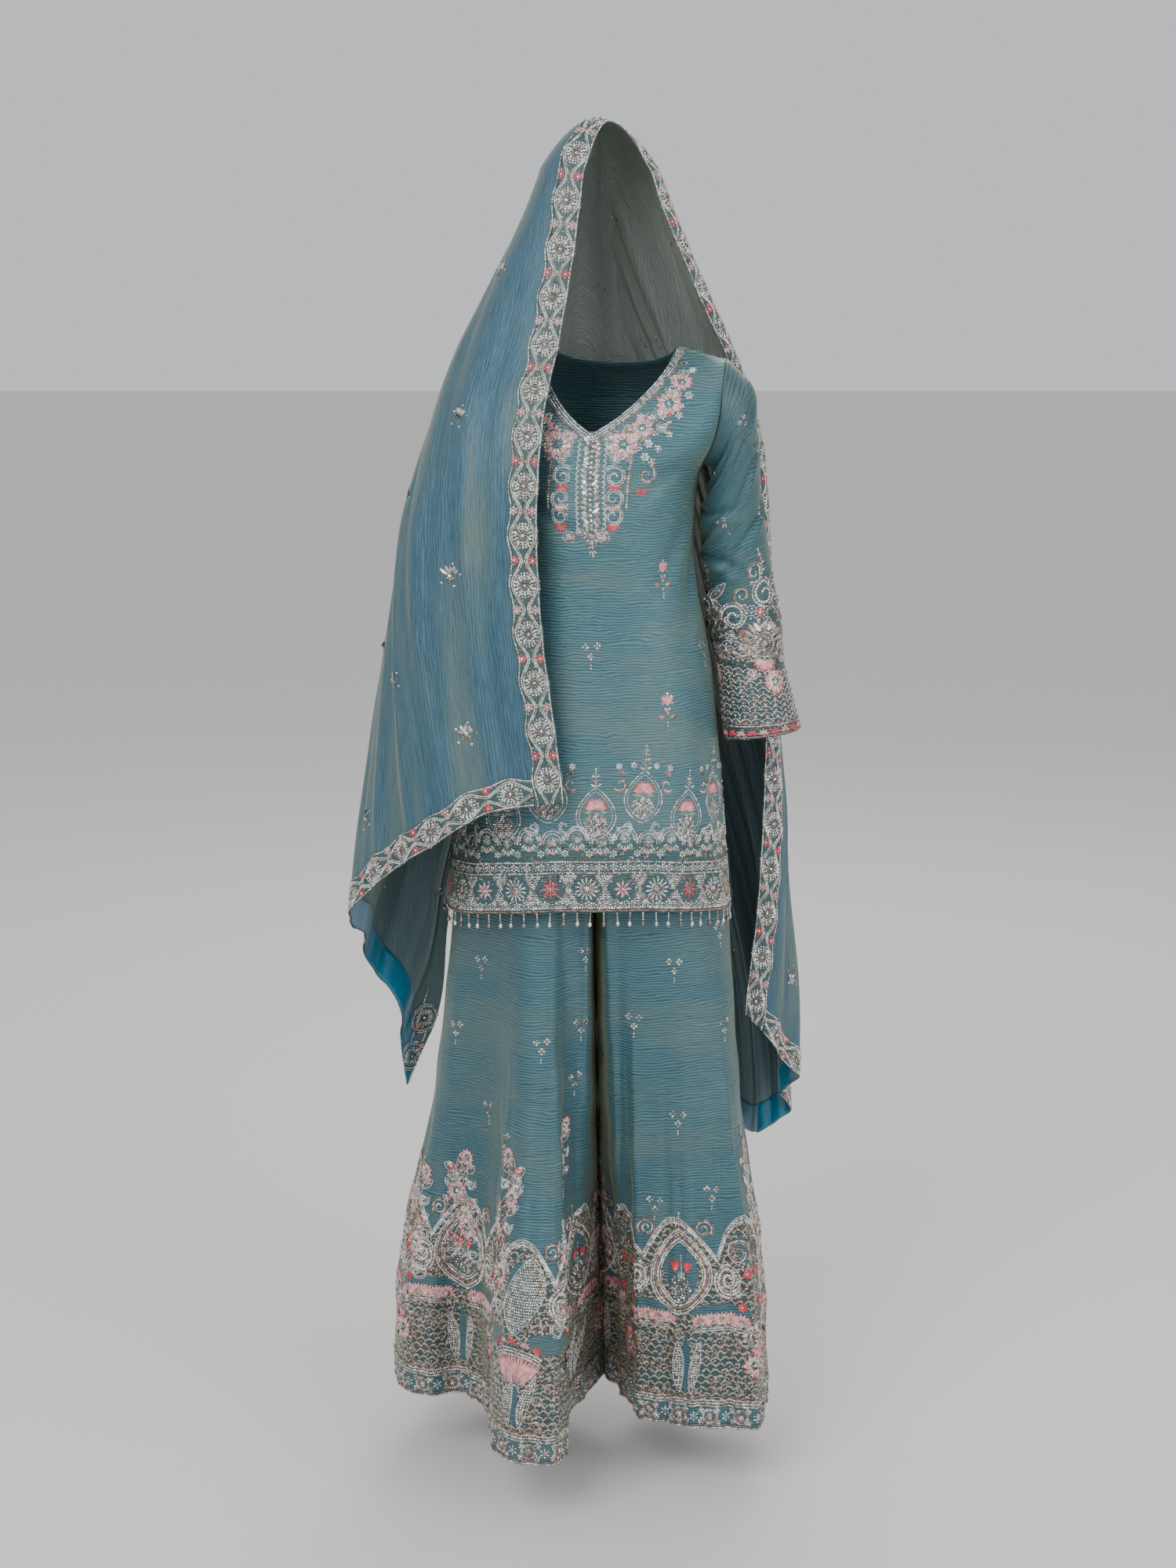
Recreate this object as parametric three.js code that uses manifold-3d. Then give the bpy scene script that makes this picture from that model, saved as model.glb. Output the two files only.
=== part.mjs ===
// Palazzo suit: a short kurti tunic, wide palazzo trousers and a dupatta veil, in their worn form.
// Millimetres, +Z up, +X to the wearer's left, the front faces -Y. The origin is the base of the
// neck, between the shoulders, where the suit is held. Cloth is a wall of even thickness, made
// from rows of outer points worked out by one function per piece.
import * as THREE from 'three';
import { mergeVertices } from 'three/addons/utils/BufferGeometryUtils.js';
import Module from 'manifold-3d';

const wasm = await Module();
wasm.setup();

// Driving dimensions
const SUIT_WALL = 2;
const FACING_WALL = 1;
const VEIL_WALL = 1.2;
const BORDER_WALL = 1.4;
const SEAM_GAP = 0.3;
const LAID_GAP = 0.6;
const NECK_HALF = 85;
const SHOULDER_HALF = 146;
const SHOULDER_DROP = 16;
const FRONT_NECK_DEPTH = 106;
const BACK_NECK_DEPTH = 22;
const ARMHOLE_MIDDLE = -83;
const ARMHOLE_HALF = 67;
const FRONT_ARMHOLE_HOLLOW = 50;
const BACK_ARMHOLE_HOLLOW = 46;
const SHOULDER_REACH = 149;
const KURTI_ROUNDNESS = 0.87;
const SLIT_TOP = -600;
const SLIT_LENGTH = 120;
const SLIT_OPENING = 7;
const BACK_SLIT_FLARE = 6;
const HEM_MIDDLE = -704;
const HEM_SIDE_DROP = 20;
const WAIST = -330;
const WAISTBAND_HEIGHT = 35;
const CROTCH_TOP = -560;
const CROTCH = -690;
const CROTCH_DEPTH = 12;
const PALAZZO_HEM = -1410;
const VEIL_BORDER = 38;
const FACING_WIDTH = 40;
const MEDALLION_PITCH = 60;
const SCALLOP = 3;
const CROWN = 280;
const DOME_HEIGHT = 62;
const DROP_PITCH = 17;
const DROP_LENGTH = 19;

const { sin, cos, abs, sign, min, max, sqrt, PI } = Math;
const radians = (degrees) => (degrees * PI) / 180;
const mix = (a, b, share) => a + (b - a) * share;
const clamp01 = (value) => min(1, max(0, value));
const smooth = (value) => {
  const share = clamp01(value);
  return share * share * (3 - 2 * share);
};

// Kurti cross-sections: centre line, turn of the torso, half width, depth of the front and the
// back from that line, and how far each panel stops short of the side (armhole, then slit).
const KURTI = [
  { z: -730, centre: -30, turn: -3, half: 187, front: 150, back: 150 },
  { z: -600, centre: -28, turn: -1, half: 174, front: 146, back: 144 },
  { z: -420, centre: -22, turn: 3, half: 154, front: 131, back: 130 },
  { z: -357, centre: -22, turn: 5, half: 144, front: 128, back: 120 },
  { z: -320, centre: -22, turn: 6, half: 136, front: 127, back: 112 },
  { z: -280, centre: -20, turn: 7, half: 128, front: 128, back: 106 },
  { z: -235, centre: -18, turn: 8, half: 124, front: 132, back: 104 },
  { z: -195, centre: -15, turn: 9, half: 123, front: 134, back: 106 },
  { z: -157, centre: -11, turn: 10, half: 125, front: 130, back: 108 },
  { z: -125, centre: -8, turn: 10, half: 140, front: 121, back: 107 },
  { z: -95, centre: -6, turn: 10, half: 148, front: 108, back: 103 },
  { z: -60, centre: -3, turn: 10, half: 149, front: 84, back: 92 },
  { z: -30, centre: -1, turn: 10, half: 148, front: 52, back: 68 },
  { z: -14, centre: 0, turn: 10, half: 146, front: 26, back: 38 },
  { z: 2, centre: 0, turn: 10, half: 146, front: 4, back: 4 },
];

// Front neckline: distance from the centre line and height.
const FRONT_NECKLINE = [
  { across: 0, z: -FRONT_NECK_DEPTH },
  { across: 20, z: -93 },
  { across: 42, z: -74 },
  { across: 62, z: -51 },
  { across: 74, z: -33 },
  { across: 81, z: -17 },
  { across: NECK_HALF, z: 0 },
];
const BACK_NECKLINE = [
  { across: 0, z: -BACK_NECK_DEPTH },
  { across: 50, z: -18 },
  { across: 74, z: -9 },
  { across: NECK_HALF, z: 0 },
];

// Sleeve rings below the armhole, for the arm that shows: centre, half width across the arm,
// half depth and tilt of the ring. hiddenX and hiddenY are the centre for the arm under the veil.
const SLEEVE = [
  { x: 152, y: -26, hiddenX: -178.7, hiddenY: 25, z: -104, across: 58, deep: 48, tilt: 64 },
  { x: 152, y: -22, hiddenX: -177, hiddenY: 22, z: -142, across: 57, deep: 51, tilt: 56 },
  { x: 150, y: -16, hiddenX: -176, hiddenY: 20, z: -180, across: 54, deep: 52, tilt: 47 },
  { x: 153, y: -12, hiddenX: -183, hiddenY: 18, z: -222, across: 47, deep: 52, tilt: 33 },
  { x: 158, y: -9, hiddenX: -188, hiddenY: 15, z: -256, across: 45, deep: 52, tilt: 25 },
  { x: 165, y: -8, hiddenX: -200, hiddenY: 10, z: -312, across: 45, deep: 51, tilt: 13 },
  { x: 171, y: -10, hiddenX: -210, hiddenY: 4, z: -349, across: 47, deep: 50, tilt: 5 },
  { x: 178, y: -15, hiddenX: -218, hiddenY: -4, z: -398, across: 45, deep: 48, tilt: -4 },
  { x: 187, y: -26, hiddenX: -227, hiddenY: -16, z: -444, across: 47, deep: 47, tilt: -3 },
  { x: 194, y: -38, hiddenX: -236, hiddenY: -30, z: -492, across: 50, deep: 46, tilt: 8 },
];
const HIDDEN_SLEEVE_SHARE = 0.84;

// Palazzo hip rings, above the spread of the legs.
const HIPS = [
  { z: -330, left: -142, right: 94, front: 94, back: 92 },
  { z: -420, left: -166, right: 119, front: 106, back: 108 },
  { z: -560, left: -186, right: 130, front: 112, back: 118 },
  { z: -735, left: -196, right: 147.3, front: 115, back: 122 },
];

// How far each leg has spread from the hips towards its hem line.
const SPREAD = [
  { z: -420, share: 0 },
  { z: -735, share: 0.14 },
  { z: -880, share: 0.29 },
  { z: -950, share: 0.37 },
  { z: -1045, share: 0.5 },
  { z: -1103, share: 0.64 },
  { z: -1162, share: 0.76 },
  { z: -1223, share: 0.88 },
  { z: -1300, share: 0.96 },
  { z: PALAZZO_HEM, share: 1 },
];

// Fold lines of each palazzo panel, from its side seam to the centre: angle on the hip ring from
// the middle of the front or the back, and where the line meets the hem.
const RIGHT_FRONT_FOLDS = [
  { angle: 90, x: -293, y: 0 },
  { angle: 77, x: -254, y: -44 },
  { angle: 64, x: -216, y: -30 },
  { angle: 53, x: -191, y: -36 },
  { angle: 43, x: -170, y: -80 },
  { angle: 36, x: -158, y: -152 },
  { angle: 30, x: -141, y: -222 },
  { angle: 25, x: -104, y: -246 },
  { angle: 19, x: -68, y: -238 },
  { angle: 12, x: -60, y: -118 },
  { angle: 6, x: -46, y: -62 },
  { angle: 1, x: -31, y: -26 },
];
const RIGHT_BACK_FOLDS = [
  { angle: 90, x: -293, y: 0 },
  { angle: 78, x: -286, y: 68 },
  { angle: 66, x: -252, y: 128 },
  { angle: 52, x: -208, y: 112 },
  { angle: 38, x: -166, y: 158 },
  { angle: 26, x: -120, y: 168 },
  { angle: 15, x: -80, y: 140 },
  { angle: 5, x: -14, y: 84 },
  { angle: 1, x: 2, y: 52 },
];
const LEFT_FRONT_FOLDS = [
  { angle: 90, x: 207, y: -30 },
  { angle: 77, x: 205, y: -104 },
  { angle: 65, x: 189, y: -139 },
  { angle: 52, x: 152, y: -140 },
  { angle: 39, x: 107, y: -134 },
  { angle: 27, x: 66, y: -122 },
  { angle: 17, x: 36, y: -102 },
  { angle: 10, x: 24, y: -58 },
  { angle: 3, x: 12, y: -14 },
];
const LEFT_BACK_FOLDS = [
  { angle: 90, x: 207, y: -30 },
  { angle: 76, x: 211, y: 42 },
  { angle: 62, x: 184, y: 106 },
  { angle: 48, x: 142, y: 92 },
  { angle: 34, x: 106, y: 140 },
  { angle: 21, x: 62, y: 150 },
  { angle: 10, x: 28, y: 106 },
  { angle: 3, x: 16, y: 74 },
  { angle: 1, x: 9, y: 48 },
];
const INSEAM = { middle: -24, rightHemX: -11, leftHemX: -7, hemY: 24 };

// Veil cross-sections: the two face edges, the widest places at the sides and the middle of the
// back. The right side of the wearer is at -X.
const VEIL = [
  { z: 215, rx: -36, ry: -50, sx: -92, sy: 25, bx: -12, by: 118, tx: 58, ty: 15, lx: 46, ly: -40 },
  { z: 164, rx: -42, ry: -58, sx: -112, sy: 22, bx: -12, by: 126, tx: 78, ty: 10, lx: 63, ly: -41 },
  { z: 110, rx: -49, ry: -66, sx: -138, sy: 18, bx: -10, by: 132, tx: 101, ty: 12, lx: 87, ly: -30 },
  { z: 50, rx: -59, ry: -80, sx: -166, sy: 12, bx: -8, by: 137, tx: 129, ty: 26, lx: 114, ly: -10 },
  { z: -6, rx: -69, ry: -98, sx: -193, sy: 6, bx: -5, by: 141, tx: 156, ty: 44, lx: 142, ly: 14 },
  { z: -57, rx: -81, ry: -120, sx: -213, sy: 0, bx: -5, by: 145, tx: 176, ty: 58, lx: 163, ly: 33 },
  { z: -117, rx: -89, ry: -140, sx: -233, sy: -8, bx: -5, by: 150, tx: 195, ty: 74, lx: 182, ly: 50 },
  { z: -175, rx: -93, ry: -150, sx: -252, sy: -16, bx: -5, by: 155, tx: 203, ty: 86, lx: 193, ly: 60 },
  { z: -231, rx: -94, ry: -155, sx: -268, sy: -22, bx: -5, by: 160, tx: 208, ty: 92, lx: 198, ly: 64 },
  { z: -344, rx: -88, ry: -163, sx: -287, sy: -29, bx: -8, by: 170, tx: 214, ty: 94, lx: 204, ly: 64 },
  { z: -454, rx: -74, ry: -170, sx: -301, sy: -33, bx: -10, by: 180, tx: 220, ty: 93, lx: 206, ly: 57 },
  { z: -555, rx: -62, ry: -178, sx: -313, sy: -34, bx: -10, by: 189, tx: 230, ty: 92, lx: 205, ly: 47 },
  { z: -650, rx: -62, ry: -176, sx: -327, sy: -31, bx: -10, by: 197, tx: 239, ty: 92, lx: 202, ly: 41 },
  { z: -755, rx: -62, ry: -172, sx: -341, sy: -28, bx: -10, by: 205, tx: 242, ty: 92, lx: 196, ly: 37 },
  { z: -892, rx: -62, ry: -170, sx: -344, sy: -18, bx: -10, by: 212, tx: 251, ty: 93, lx: 182, ly: 33 },
  { z: -1110, rx: -62, ry: -170, sx: -348, sy: -8, bx: -10, by: 216, tx: 252, ty: 98, lx: 181, ly: 33 },
];
// Places around the veil: 0 is the wearer's right face edge and 1 the left one.
const ROUND = { side: 0.25, back: 0.5, otherSide: 0.85 };

// The ridge over the head, from the face edge to the back.
const RIDGE = [
  { round: 0, x: -5, y: -14, z: 273 },
  { round: 0.15, x: -22, y: 12, z: CROWN },
  { round: 0.35, x: -20, y: 42, z: 277 },
  { round: 0.5, x: -16, y: 62, z: 268 },
];

// The veil's short ends and its back edge, as places around it and heights. across runs from the
// face edge to the rear corner; along runs from the rear corner to the middle of the back.
const RIGHT_END = [
  { across: 0, round: 0, z: -557 },
  { across: 0.1, round: 0.052, z: -571 },
  { across: 0.2, round: 0.1, z: -618 },
  { across: 0.32, round: 0.155, z: -662 },
  { across: 0.44, round: 0.21, z: -722 },
  { across: 0.54, round: 0.25, z: -754 },
  { across: 0.65, round: 0.29, z: -788 },
  { across: 0.76, round: 0.318, z: -842 },
  { across: 0.86, round: 0.338, z: -905 },
  { across: 1, round: 0.352, z: -1022 },
];
const RIGHT_BACK_EDGE = [
  { along: 0, round: 0.352, z: -1022 },
  { along: 0.13, round: 0.383, z: -925 },
  { along: 0.3, round: 0.392, z: -800 },
  { along: 0.46, round: 0.402, z: -690 },
  { along: 0.64, round: 0.428, z: -590 },
  { along: 0.82, round: 0.46, z: -525 },
  { along: 1, round: 0.5, z: -495 },
];
const LEFT_END = [
  { across: 0, round: 1, z: -892 },
  { across: 0.08, round: 0.945, z: -938 },
  { across: 0.18, round: 0.885, z: -985 },
  { across: 0.25, round: 0.85, z: -1008 },
  { across: 0.36, round: 0.805, z: -1048 },
  { across: 0.5, round: 0.752, z: -1088 },
  { across: 0.75, round: 0.685, z: -1104 },
  { across: 1, round: 0.62, z: -1062 },
];
const LEFT_BACK_EDGE = [
  { along: 0, round: 0.62, z: -1062 },
  { along: 0.2, round: 0.602, z: -915 },
  { along: 0.4, round: 0.586, z: -775 },
  { along: 0.6, round: 0.564, z: -645 },
  { along: 0.8, round: 0.536, z: -545 },
  { along: 1, round: 0.5, z: -495 },
];
const RIDGE_SHARE = 0.11;
const VEIL_WIDTH = 850;
const BORDER_SHARE = VEIL_BORDER / VEIL_WIDTH;
const FALL_TOP = 0.62;

// The veil's soft folds: place across the cloth, half width and height of the crest, and where
// along the half veil (0 at the end, 1 at the crown) it is deepest. Troughs have negative heights.
const RIGHT_VEIL_FOLDS = [
  { across: 0.2, width: 0.05, height: 9, deepest: 0.1 },
  { across: 0.34, width: 0.045, height: -9, deepest: 0.15 },
  { across: 0.47, width: 0.05, height: 10, deepest: 0 },
  { across: 0.6, width: 0.045, height: -12, deepest: 0.15 },
  { across: 0.72, width: 0.05, height: 14, deepest: 0.1 },
  { across: 0.85, width: 0.05, height: -14, deepest: 0.15 },
];
const LEFT_VEIL_FOLDS = [
  { across: 0.18, width: 0.05, height: -8, deepest: 0.3 },
  { across: 0.32, width: 0.05, height: 10, deepest: 0.1 },
  { across: 0.46, width: 0.05, height: -14, deepest: 0.2 },
  { across: 0.6, width: 0.05, height: 14, deepest: 0.1 },
  { across: 0.74, width: 0.05, height: -14, deepest: 0.2 },
  { across: 0.88, width: 0.05, height: 12, deepest: 0.1 },
];

// A smooth curve through one column of a table, against its key column.
function along(rows, key, column, at) {
  const upward = rows[rows.length - 1][key] > rows[0][key];
  const ordered = upward ? rows : [...rows].reverse();
  const last = ordered.length - 1;
  if (at <= ordered[0][key]) return ordered[0][column];
  if (at >= ordered[last][key]) return ordered[last][column];
  const i = ordered.findIndex((row, n) => n < last && at <= ordered[n + 1][key]);
  const slope = (a, b) => (ordered[b][column] - ordered[a][column]) / (ordered[b][key] - ordered[a][key]);
  const step = ordered[i + 1][key] - ordered[i][key];
  const share = (at - ordered[i][key]) / step;
  const leave = slope(max(0, i - 1), i + 1) * step;
  const arrive = slope(i, min(last, i + 2)) * step;
  const a = ordered[i][column];
  const b = ordered[i + 1][column];
  const cubic = 2 * (a - b) + leave + arrive;
  const square = 3 * (b - a) - 2 * leave - arrive;
  return ((cubic * share + square) * share + leave) * share + a;
}

// Triangles of one closed wall from two grids of points, [row][column]. A looped wall joins its
// last column to its first. The order is turned about if it faces inward.
function wallGeometry(outer, inner, looped = false) {
  const rows = outer.length;
  const columns = outer[0].length;
  const index = (layer, r, c) => (layer * rows + r) * columns + (c % columns);
  const triangles = [];
  const quad = (a, b, c, d) => triangles.push(a, b, c, a, c, d);
  const lastColumn = looped ? columns : columns - 1;
  for (let r = 0; r < rows - 1; r += 1) {
    for (let c = 0; c < lastColumn; c += 1) {
      quad(index(0, r, c), index(0, r + 1, c), index(0, r + 1, c + 1), index(0, r, c + 1));
      quad(index(1, r, c), index(1, r, c + 1), index(1, r + 1, c + 1), index(1, r + 1, c));
    }
    if (!looped) {
      quad(index(0, r, 0), index(1, r, 0), index(1, r + 1, 0), index(0, r + 1, 0));
      quad(
        index(0, r, columns - 1),
        index(0, r + 1, columns - 1),
        index(1, r + 1, columns - 1),
        index(1, r, columns - 1),
      );
    }
  }
  for (let c = 0; c < lastColumn; c += 1) {
    quad(index(0, 0, c), index(0, 0, c + 1), index(1, 0, c + 1), index(1, 0, c));
    quad(
      index(0, rows - 1, c),
      index(1, rows - 1, c),
      index(1, rows - 1, c + 1),
      index(0, rows - 1, c + 1),
    );
  }
  const places = [...outer.flat(), ...inner.flat()].flatMap((p) => [p.x, p.y, p.z]);
  if (signedVolume(places, triangles) < 0) triangles.reverse();
  const geometry = new THREE.BufferGeometry();
  geometry.setAttribute('position', new THREE.Float32BufferAttribute(places, 3));
  geometry.setIndex(triangles);
  return geometry;
}

function signedVolume(places, triangles) {
  const corner = (n) => new THREE.Vector3().fromArray(places, 3 * n);
  let total = 0;
  for (let n = 0; n < triangles.length; n += 3) {
    const [a, b, c] = triangles.slice(n, n + 3).map(corner);
    total += a.dot(b.cross(c));
  }
  return total;
}

// A wall whose outer and inner faces lie at two distances from a grid of points with normals.
function wall(grid, outerOffset, thickness, looped = false) {
  const layer = (offset) =>
    grid.map((row) => row.map(({ point, normal }) => point.clone().addScaledVector(normal, offset)));
  return wallGeometry(layer(outerOffset), layer(outerOffset - thickness), looped);
}

const suit = new THREE.Group();
suit.name = 'palazzo_suit';

const finish = (color, roughness, metalness = 0) => ({ color, roughness, metalness });
const KURTI_SILK = finish(0x55878c, 0.5);
const PALAZZO_SILK = finish(0x4c7f86, 0.5);
const VEIL_TISSUE = finish(0x3e6c82, 0.55);
const BORDER_WORK = finish(0xa79b90, 0.45, 0.2);
const SATIN = finish(0x006e8c, 0.3);
const BEADS = finish(0xc8beb4, 0.25, 0.5);

function addPiece(name, geometry, look) {
  const piece = new THREE.Mesh(geometry, new THREE.MeshStandardMaterial(look));
  piece.name = name;
  suit.add(piece);
}

// Kurti: facing is -1 for the front panel and 1 for the back one. turn is the angle around the
// half ring, from -90 at the wearer's right to 90 at the left.
function kurtiEdge(facing, z) {
  const inArmhole = 1 - ((z - ARMHOLE_MIDDLE) / ARMHOLE_HALF) ** 2;
  const hollow = facing < 0 ? FRONT_ARMHOLE_HOLLOW : BACK_ARMHOLE_HOLLOW;
  const armhole = inArmhole > 0 ? hollow * sqrt(inArmhole) : 0;
  return armhole + SLIT_OPENING * downSlit(z);
}

function downSlit(z) {
  return max(0, (SLIT_TOP - z) / SLIT_LENGTH);
}

function kurtiPoint(facing, angle, z) {
  const size = (column) => along(KURTI, 'z', column, z);
  const share = sin(radians(angle));
  const flare = facing > 0 ? BACK_SLIT_FLARE * downSlit(z) : 0;
  const sideways = (size('half') + flare) * sign(share) * abs(share) ** KURTI_ROUNDNESS;
  const edge = kurtiEdge(facing, z);
  const full = size(facing < 0 ? 'front' : 'back');
  const depth = edge + (full - edge) * cos(radians(angle)) ** KURTI_ROUNDNESS;
  const turn = radians(size('turn'));
  const forward = facing * depth;
  return new THREE.Vector3(
    size('centre') + sideways * cos(turn) + forward * sin(turn),
    forward * cos(turn) - sideways * sin(turn),
    z,
  );
}

function kurtiTop(facing, angle) {
  const across = SHOULDER_REACH * abs(sin(radians(angle))) ** KURTI_ROUNDNESS;
  if (across < NECK_HALF) {
    return along(facing < 0 ? FRONT_NECKLINE : BACK_NECKLINE, 'across', 'z', across);
  }
  const down = (across - NECK_HALF) / (SHOULDER_HALF - NECK_HALF);
  return -SHOULDER_DROP * min(1, down);
}

function kurtiHem(angle) {
  return HEM_MIDDLE - HEM_SIDE_DROP * sin(radians(angle)) ** 2;
}

// Angles that put columns on the neckline's own points.
const KURTI_ANGLES = [8, 15, 22, 27, 31.5, 40, 50, 60, 70, 80, 89.6];
const KURTI_COLUMNS = [...KURTI_ANGLES.map((a) => -a).reverse(), 0, ...KURTI_ANGLES];
const KURTI_ROWS = [0, 0.14, 0.34, 0.46, 0.54, 0.62, 0.7, 0.78, 0.86, 0.93, 1];

function kurtiGrid(facing) {
  const surface = (share, angle) =>
    kurtiPoint(facing, angle, mix(kurtiHem(angle), kurtiTop(facing, angle) - SEAM_GAP, share));
  return KURTI_ROWS.map((share) =>
    KURTI_COLUMNS.map((angle) => {
      const held = max(-86, min(86, angle));
      const low = clamp01(share - 0.01);
      const high = clamp01(share + 0.01);
      const up = surface(high, held).sub(surface(low, held));
      const sideways = surface(share, held + 2).sub(surface(share, held - 2));
      const normal = sideways.cross(up).multiplyScalar(-facing).normalize();
      return { point: surface(share, angle), normal };
    }),
  );
}

// Sleeve: a tube from the armhole to the cuff. side is 1 for the arm that shows.
const SLEEVE_SIDES = 14;

function armholePoint(side, angle) {
  const z = ARMHOLE_MIDDLE + (ARMHOLE_HALF - 1) * cos(angle);
  const grid = sin(angle) > 0 ? kurtiFront : kurtiBack;
  const column = side > 0 ? KURTI_COLUMNS.length - 1 : 0;
  const edge = grid.map((row) => row[column].point);
  const next = edge.findIndex((point) => point.z >= z);
  const above = next < 0 ? edge[edge.length - 1] : edge[next];
  const below = next < 0 ? edge[edge.length - 2] : edge[next - 1];
  const point = below.clone().lerp(above, (z - below.z) / (above.z - below.z));
  return point.add(new THREE.Vector3(side * 2 * SEAM_GAP, 0, 0));
}

function ringPoint(row, side, angle) {
  const share = side > 0 ? 1 : HIDDEN_SLEEVE_SHARE;
  const outwardShare = row.across * share * cos(angle);
  const tilt = radians(row.tilt);
  return new THREE.Vector3(
    (side > 0 ? row.x : row.hiddenX) + side * outwardShare * cos(tilt),
    (side > 0 ? row.y : row.hiddenY) - row.deep * share * sin(angle),
    row.z + outwardShare * sin(tilt),
  );
}

function sleeveGrid(side) {
  const angles = Array.from({ length: SLEEVE_SIDES }, (_, n) => (n / SLEEVE_SIDES) * 2 * PI);
  const rings = [
    angles.map((angle) => armholePoint(side, angle)),
    ...SLEEVE.map((row) => angles.map((angle) => ringPoint(row, side, angle))),
  ];
  return rings.map((ring, r) =>
    ring.map((point, n) => {
      const before = ring[(n + SLEEVE_SIDES - 1) % SLEEVE_SIDES];
      const after = ring[(n + 1) % SLEEVE_SIDES];
      const upper = rings[max(0, r - 1)][n];
      const lower = rings[min(rings.length - 1, r + 1)][n];
      const around = after.clone().sub(before);
      const normal = around.cross(lower.clone().sub(upper)).multiplyScalar(side).normalize();
      return { point, normal };
    }),
  );
}

// Palazzo: side is -1 for the wearer's right leg and 1 for the left; facing is -1 for the front.
function hipPoint(side, facing, angle, z) {
  const size = (column) => along(HIPS, 'z', column, z);
  const middle = (size('left') + size('right')) / 2;
  const half = (size('right') - size('left')) / 2;
  return new THREE.Vector3(
    middle + side * half * sin(radians(angle)),
    facing * size(facing < 0 ? 'front' : 'back') * cos(radians(angle)),
    z,
  );
}

function foldLinePoint(side, facing, fold, z) {
  const hip = hipPoint(side, facing, fold.angle, z);
  const share = along(SPREAD, 'z', 'share', z);
  return new THREE.Vector3(mix(hip.x, fold.x, share), mix(hip.y, fold.y, share), z);
}

// The centre seam runs down the hips, turns in under the crotch and goes on as the inseam.
function centrePoint(side, facing, z) {
  const hip = hipPoint(side, facing, 0, z);
  const turned = smooth((CROTCH_TOP - z) / (CROTCH_TOP - CROTCH));
  const down = clamp01((CROTCH - z) / (CROTCH - PALAZZO_HEM));
  const hemX = side < 0 ? INSEAM.rightHemX : INSEAM.leftHemX;
  const inseamX = mix(INSEAM.middle, hemX, down);
  const inseamY = mix(CROTCH_DEPTH, INSEAM.hemY, down);
  return new THREE.Vector3(
    mix(hip.x, inseamX, turned) + side * SEAM_GAP,
    mix(hip.y, inseamY, turned) + facing * SEAM_GAP,
    z,
  );
}

const PALAZZO_ROWS = [
  WAIST - SEAM_GAP,
  -420,
  CROTCH_TOP,
  -625,
  CROTCH,
  -740,
  -830,
  -920,
  -1000,
  -1060,
  -1120,
  -1180,
  -1240,
  -1320,
  PALAZZO_HEM,
];

// Each panel is one cut of cloth, built as three stretches with hairline gaps: their first and
// last rows.
const PALAZZO_STRETCHES = [
  { name: 'hip', first: 0, last: 5 },
  { name: 'knee', first: 5, last: 9 },
  { name: 'hem', first: 9, last: 14 },
];

function palazzoGrid(side, facing, folds) {
  const seamShift = new THREE.Vector3(0, facing * SEAM_GAP, 0);
  const rings = PALAZZO_ROWS.map((z) => [
    ...folds.map((fold) => foldLinePoint(side, facing, fold, z).add(seamShift)),
    centrePoint(side, facing, z),
  ]);
  const last = folds.length;
  return rings.map((ring, r) =>
    ring.map((point, n) => {
      const across = ring[min(last, n + 1)].clone().sub(ring[max(0, n - 1)]);
      const down = rings[min(rings.length - 1, r + 1)][n].clone().sub(rings[max(0, r - 1)][n]);
      const normal = across.cross(down).multiplyScalar(-side * facing);
      if (n === 0) normal.set(side, 0, 0);
      if (n === last) {
        if (PALAZZO_ROWS[r] > CROTCH) normal.setX(0);
        else normal.set(-side, 0, 0);
      }
      return { point, normal: normal.normalize() };
    }),
  );
}

function waistbandGrid() {
  const SIDES = 24;
  const angles = Array.from({ length: SIDES }, (_, n) => (n / SIDES) * 360);
  const heights = [WAIST, WAIST + WAISTBAND_HEIGHT];
  const pointAt = (angle, z) => {
    const facing = cos(radians(angle)) > 0 ? -1 : 1;
    const hip = hipPoint(1, facing, 0, WAIST);
    const side = hipPoint(1, facing, 90, WAIST);
    return new THREE.Vector3(
      hip.x + (side.x - hip.x) * sin(radians(angle)),
      -abs(hip.y) * cos(radians(angle)),
      z,
    );
  };
  return heights.map((z) =>
    angles.map((angle) => {
      const around = pointAt(angle + 1, z).sub(pointAt(angle - 1, z));
      return { point: pointAt(angle, z), normal: new THREE.Vector3(around.y, -around.x, 0).normalize() };
    }),
  );
}

// Veil: its surface is first a place around it and a height, then a place on the cloth itself.
function sectionPoint(round, z) {
  const at = (column) => along(VEIL, 'z', column, z);
  const bend = (edgeX, edgeY, sideX, sideY, share) => {
    const left = (1 - share) ** 2;
    const kept = 2 * share * (1 - share);
    return [
      left * edgeX + (kept + share ** 2) * sideX,
      (left + kept) * edgeY + share ** 2 * sideY,
    ];
  };
  const quarter = (sideX, sideY, share) => {
    const turn = (share * PI) / 2;
    return [
      at('bx') + (sideX - at('bx')) * cos(turn) ** 0.92,
      sideY + (at('by') - sideY) * sin(turn) ** 0.92,
    ];
  };
  const { side, back, otherSide } = ROUND;
  if (round < side) return bend(at('rx'), at('ry'), at('sx'), at('sy'), round / side);
  if (round < back) return quarter(at('sx'), at('sy'), (round - side) / (back - side));
  if (round < otherSide) return quarter(at('tx'), at('ty'), (otherSide - round) / (otherSide - back));
  return bend(at('lx'), at('ly'), at('tx'), at('ty'), (1 - round) / (1 - otherSide));
}

function ridgeHeight(round) {
  return along(RIDGE, 'round', 'z', min(round, 1 - round));
}

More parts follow.
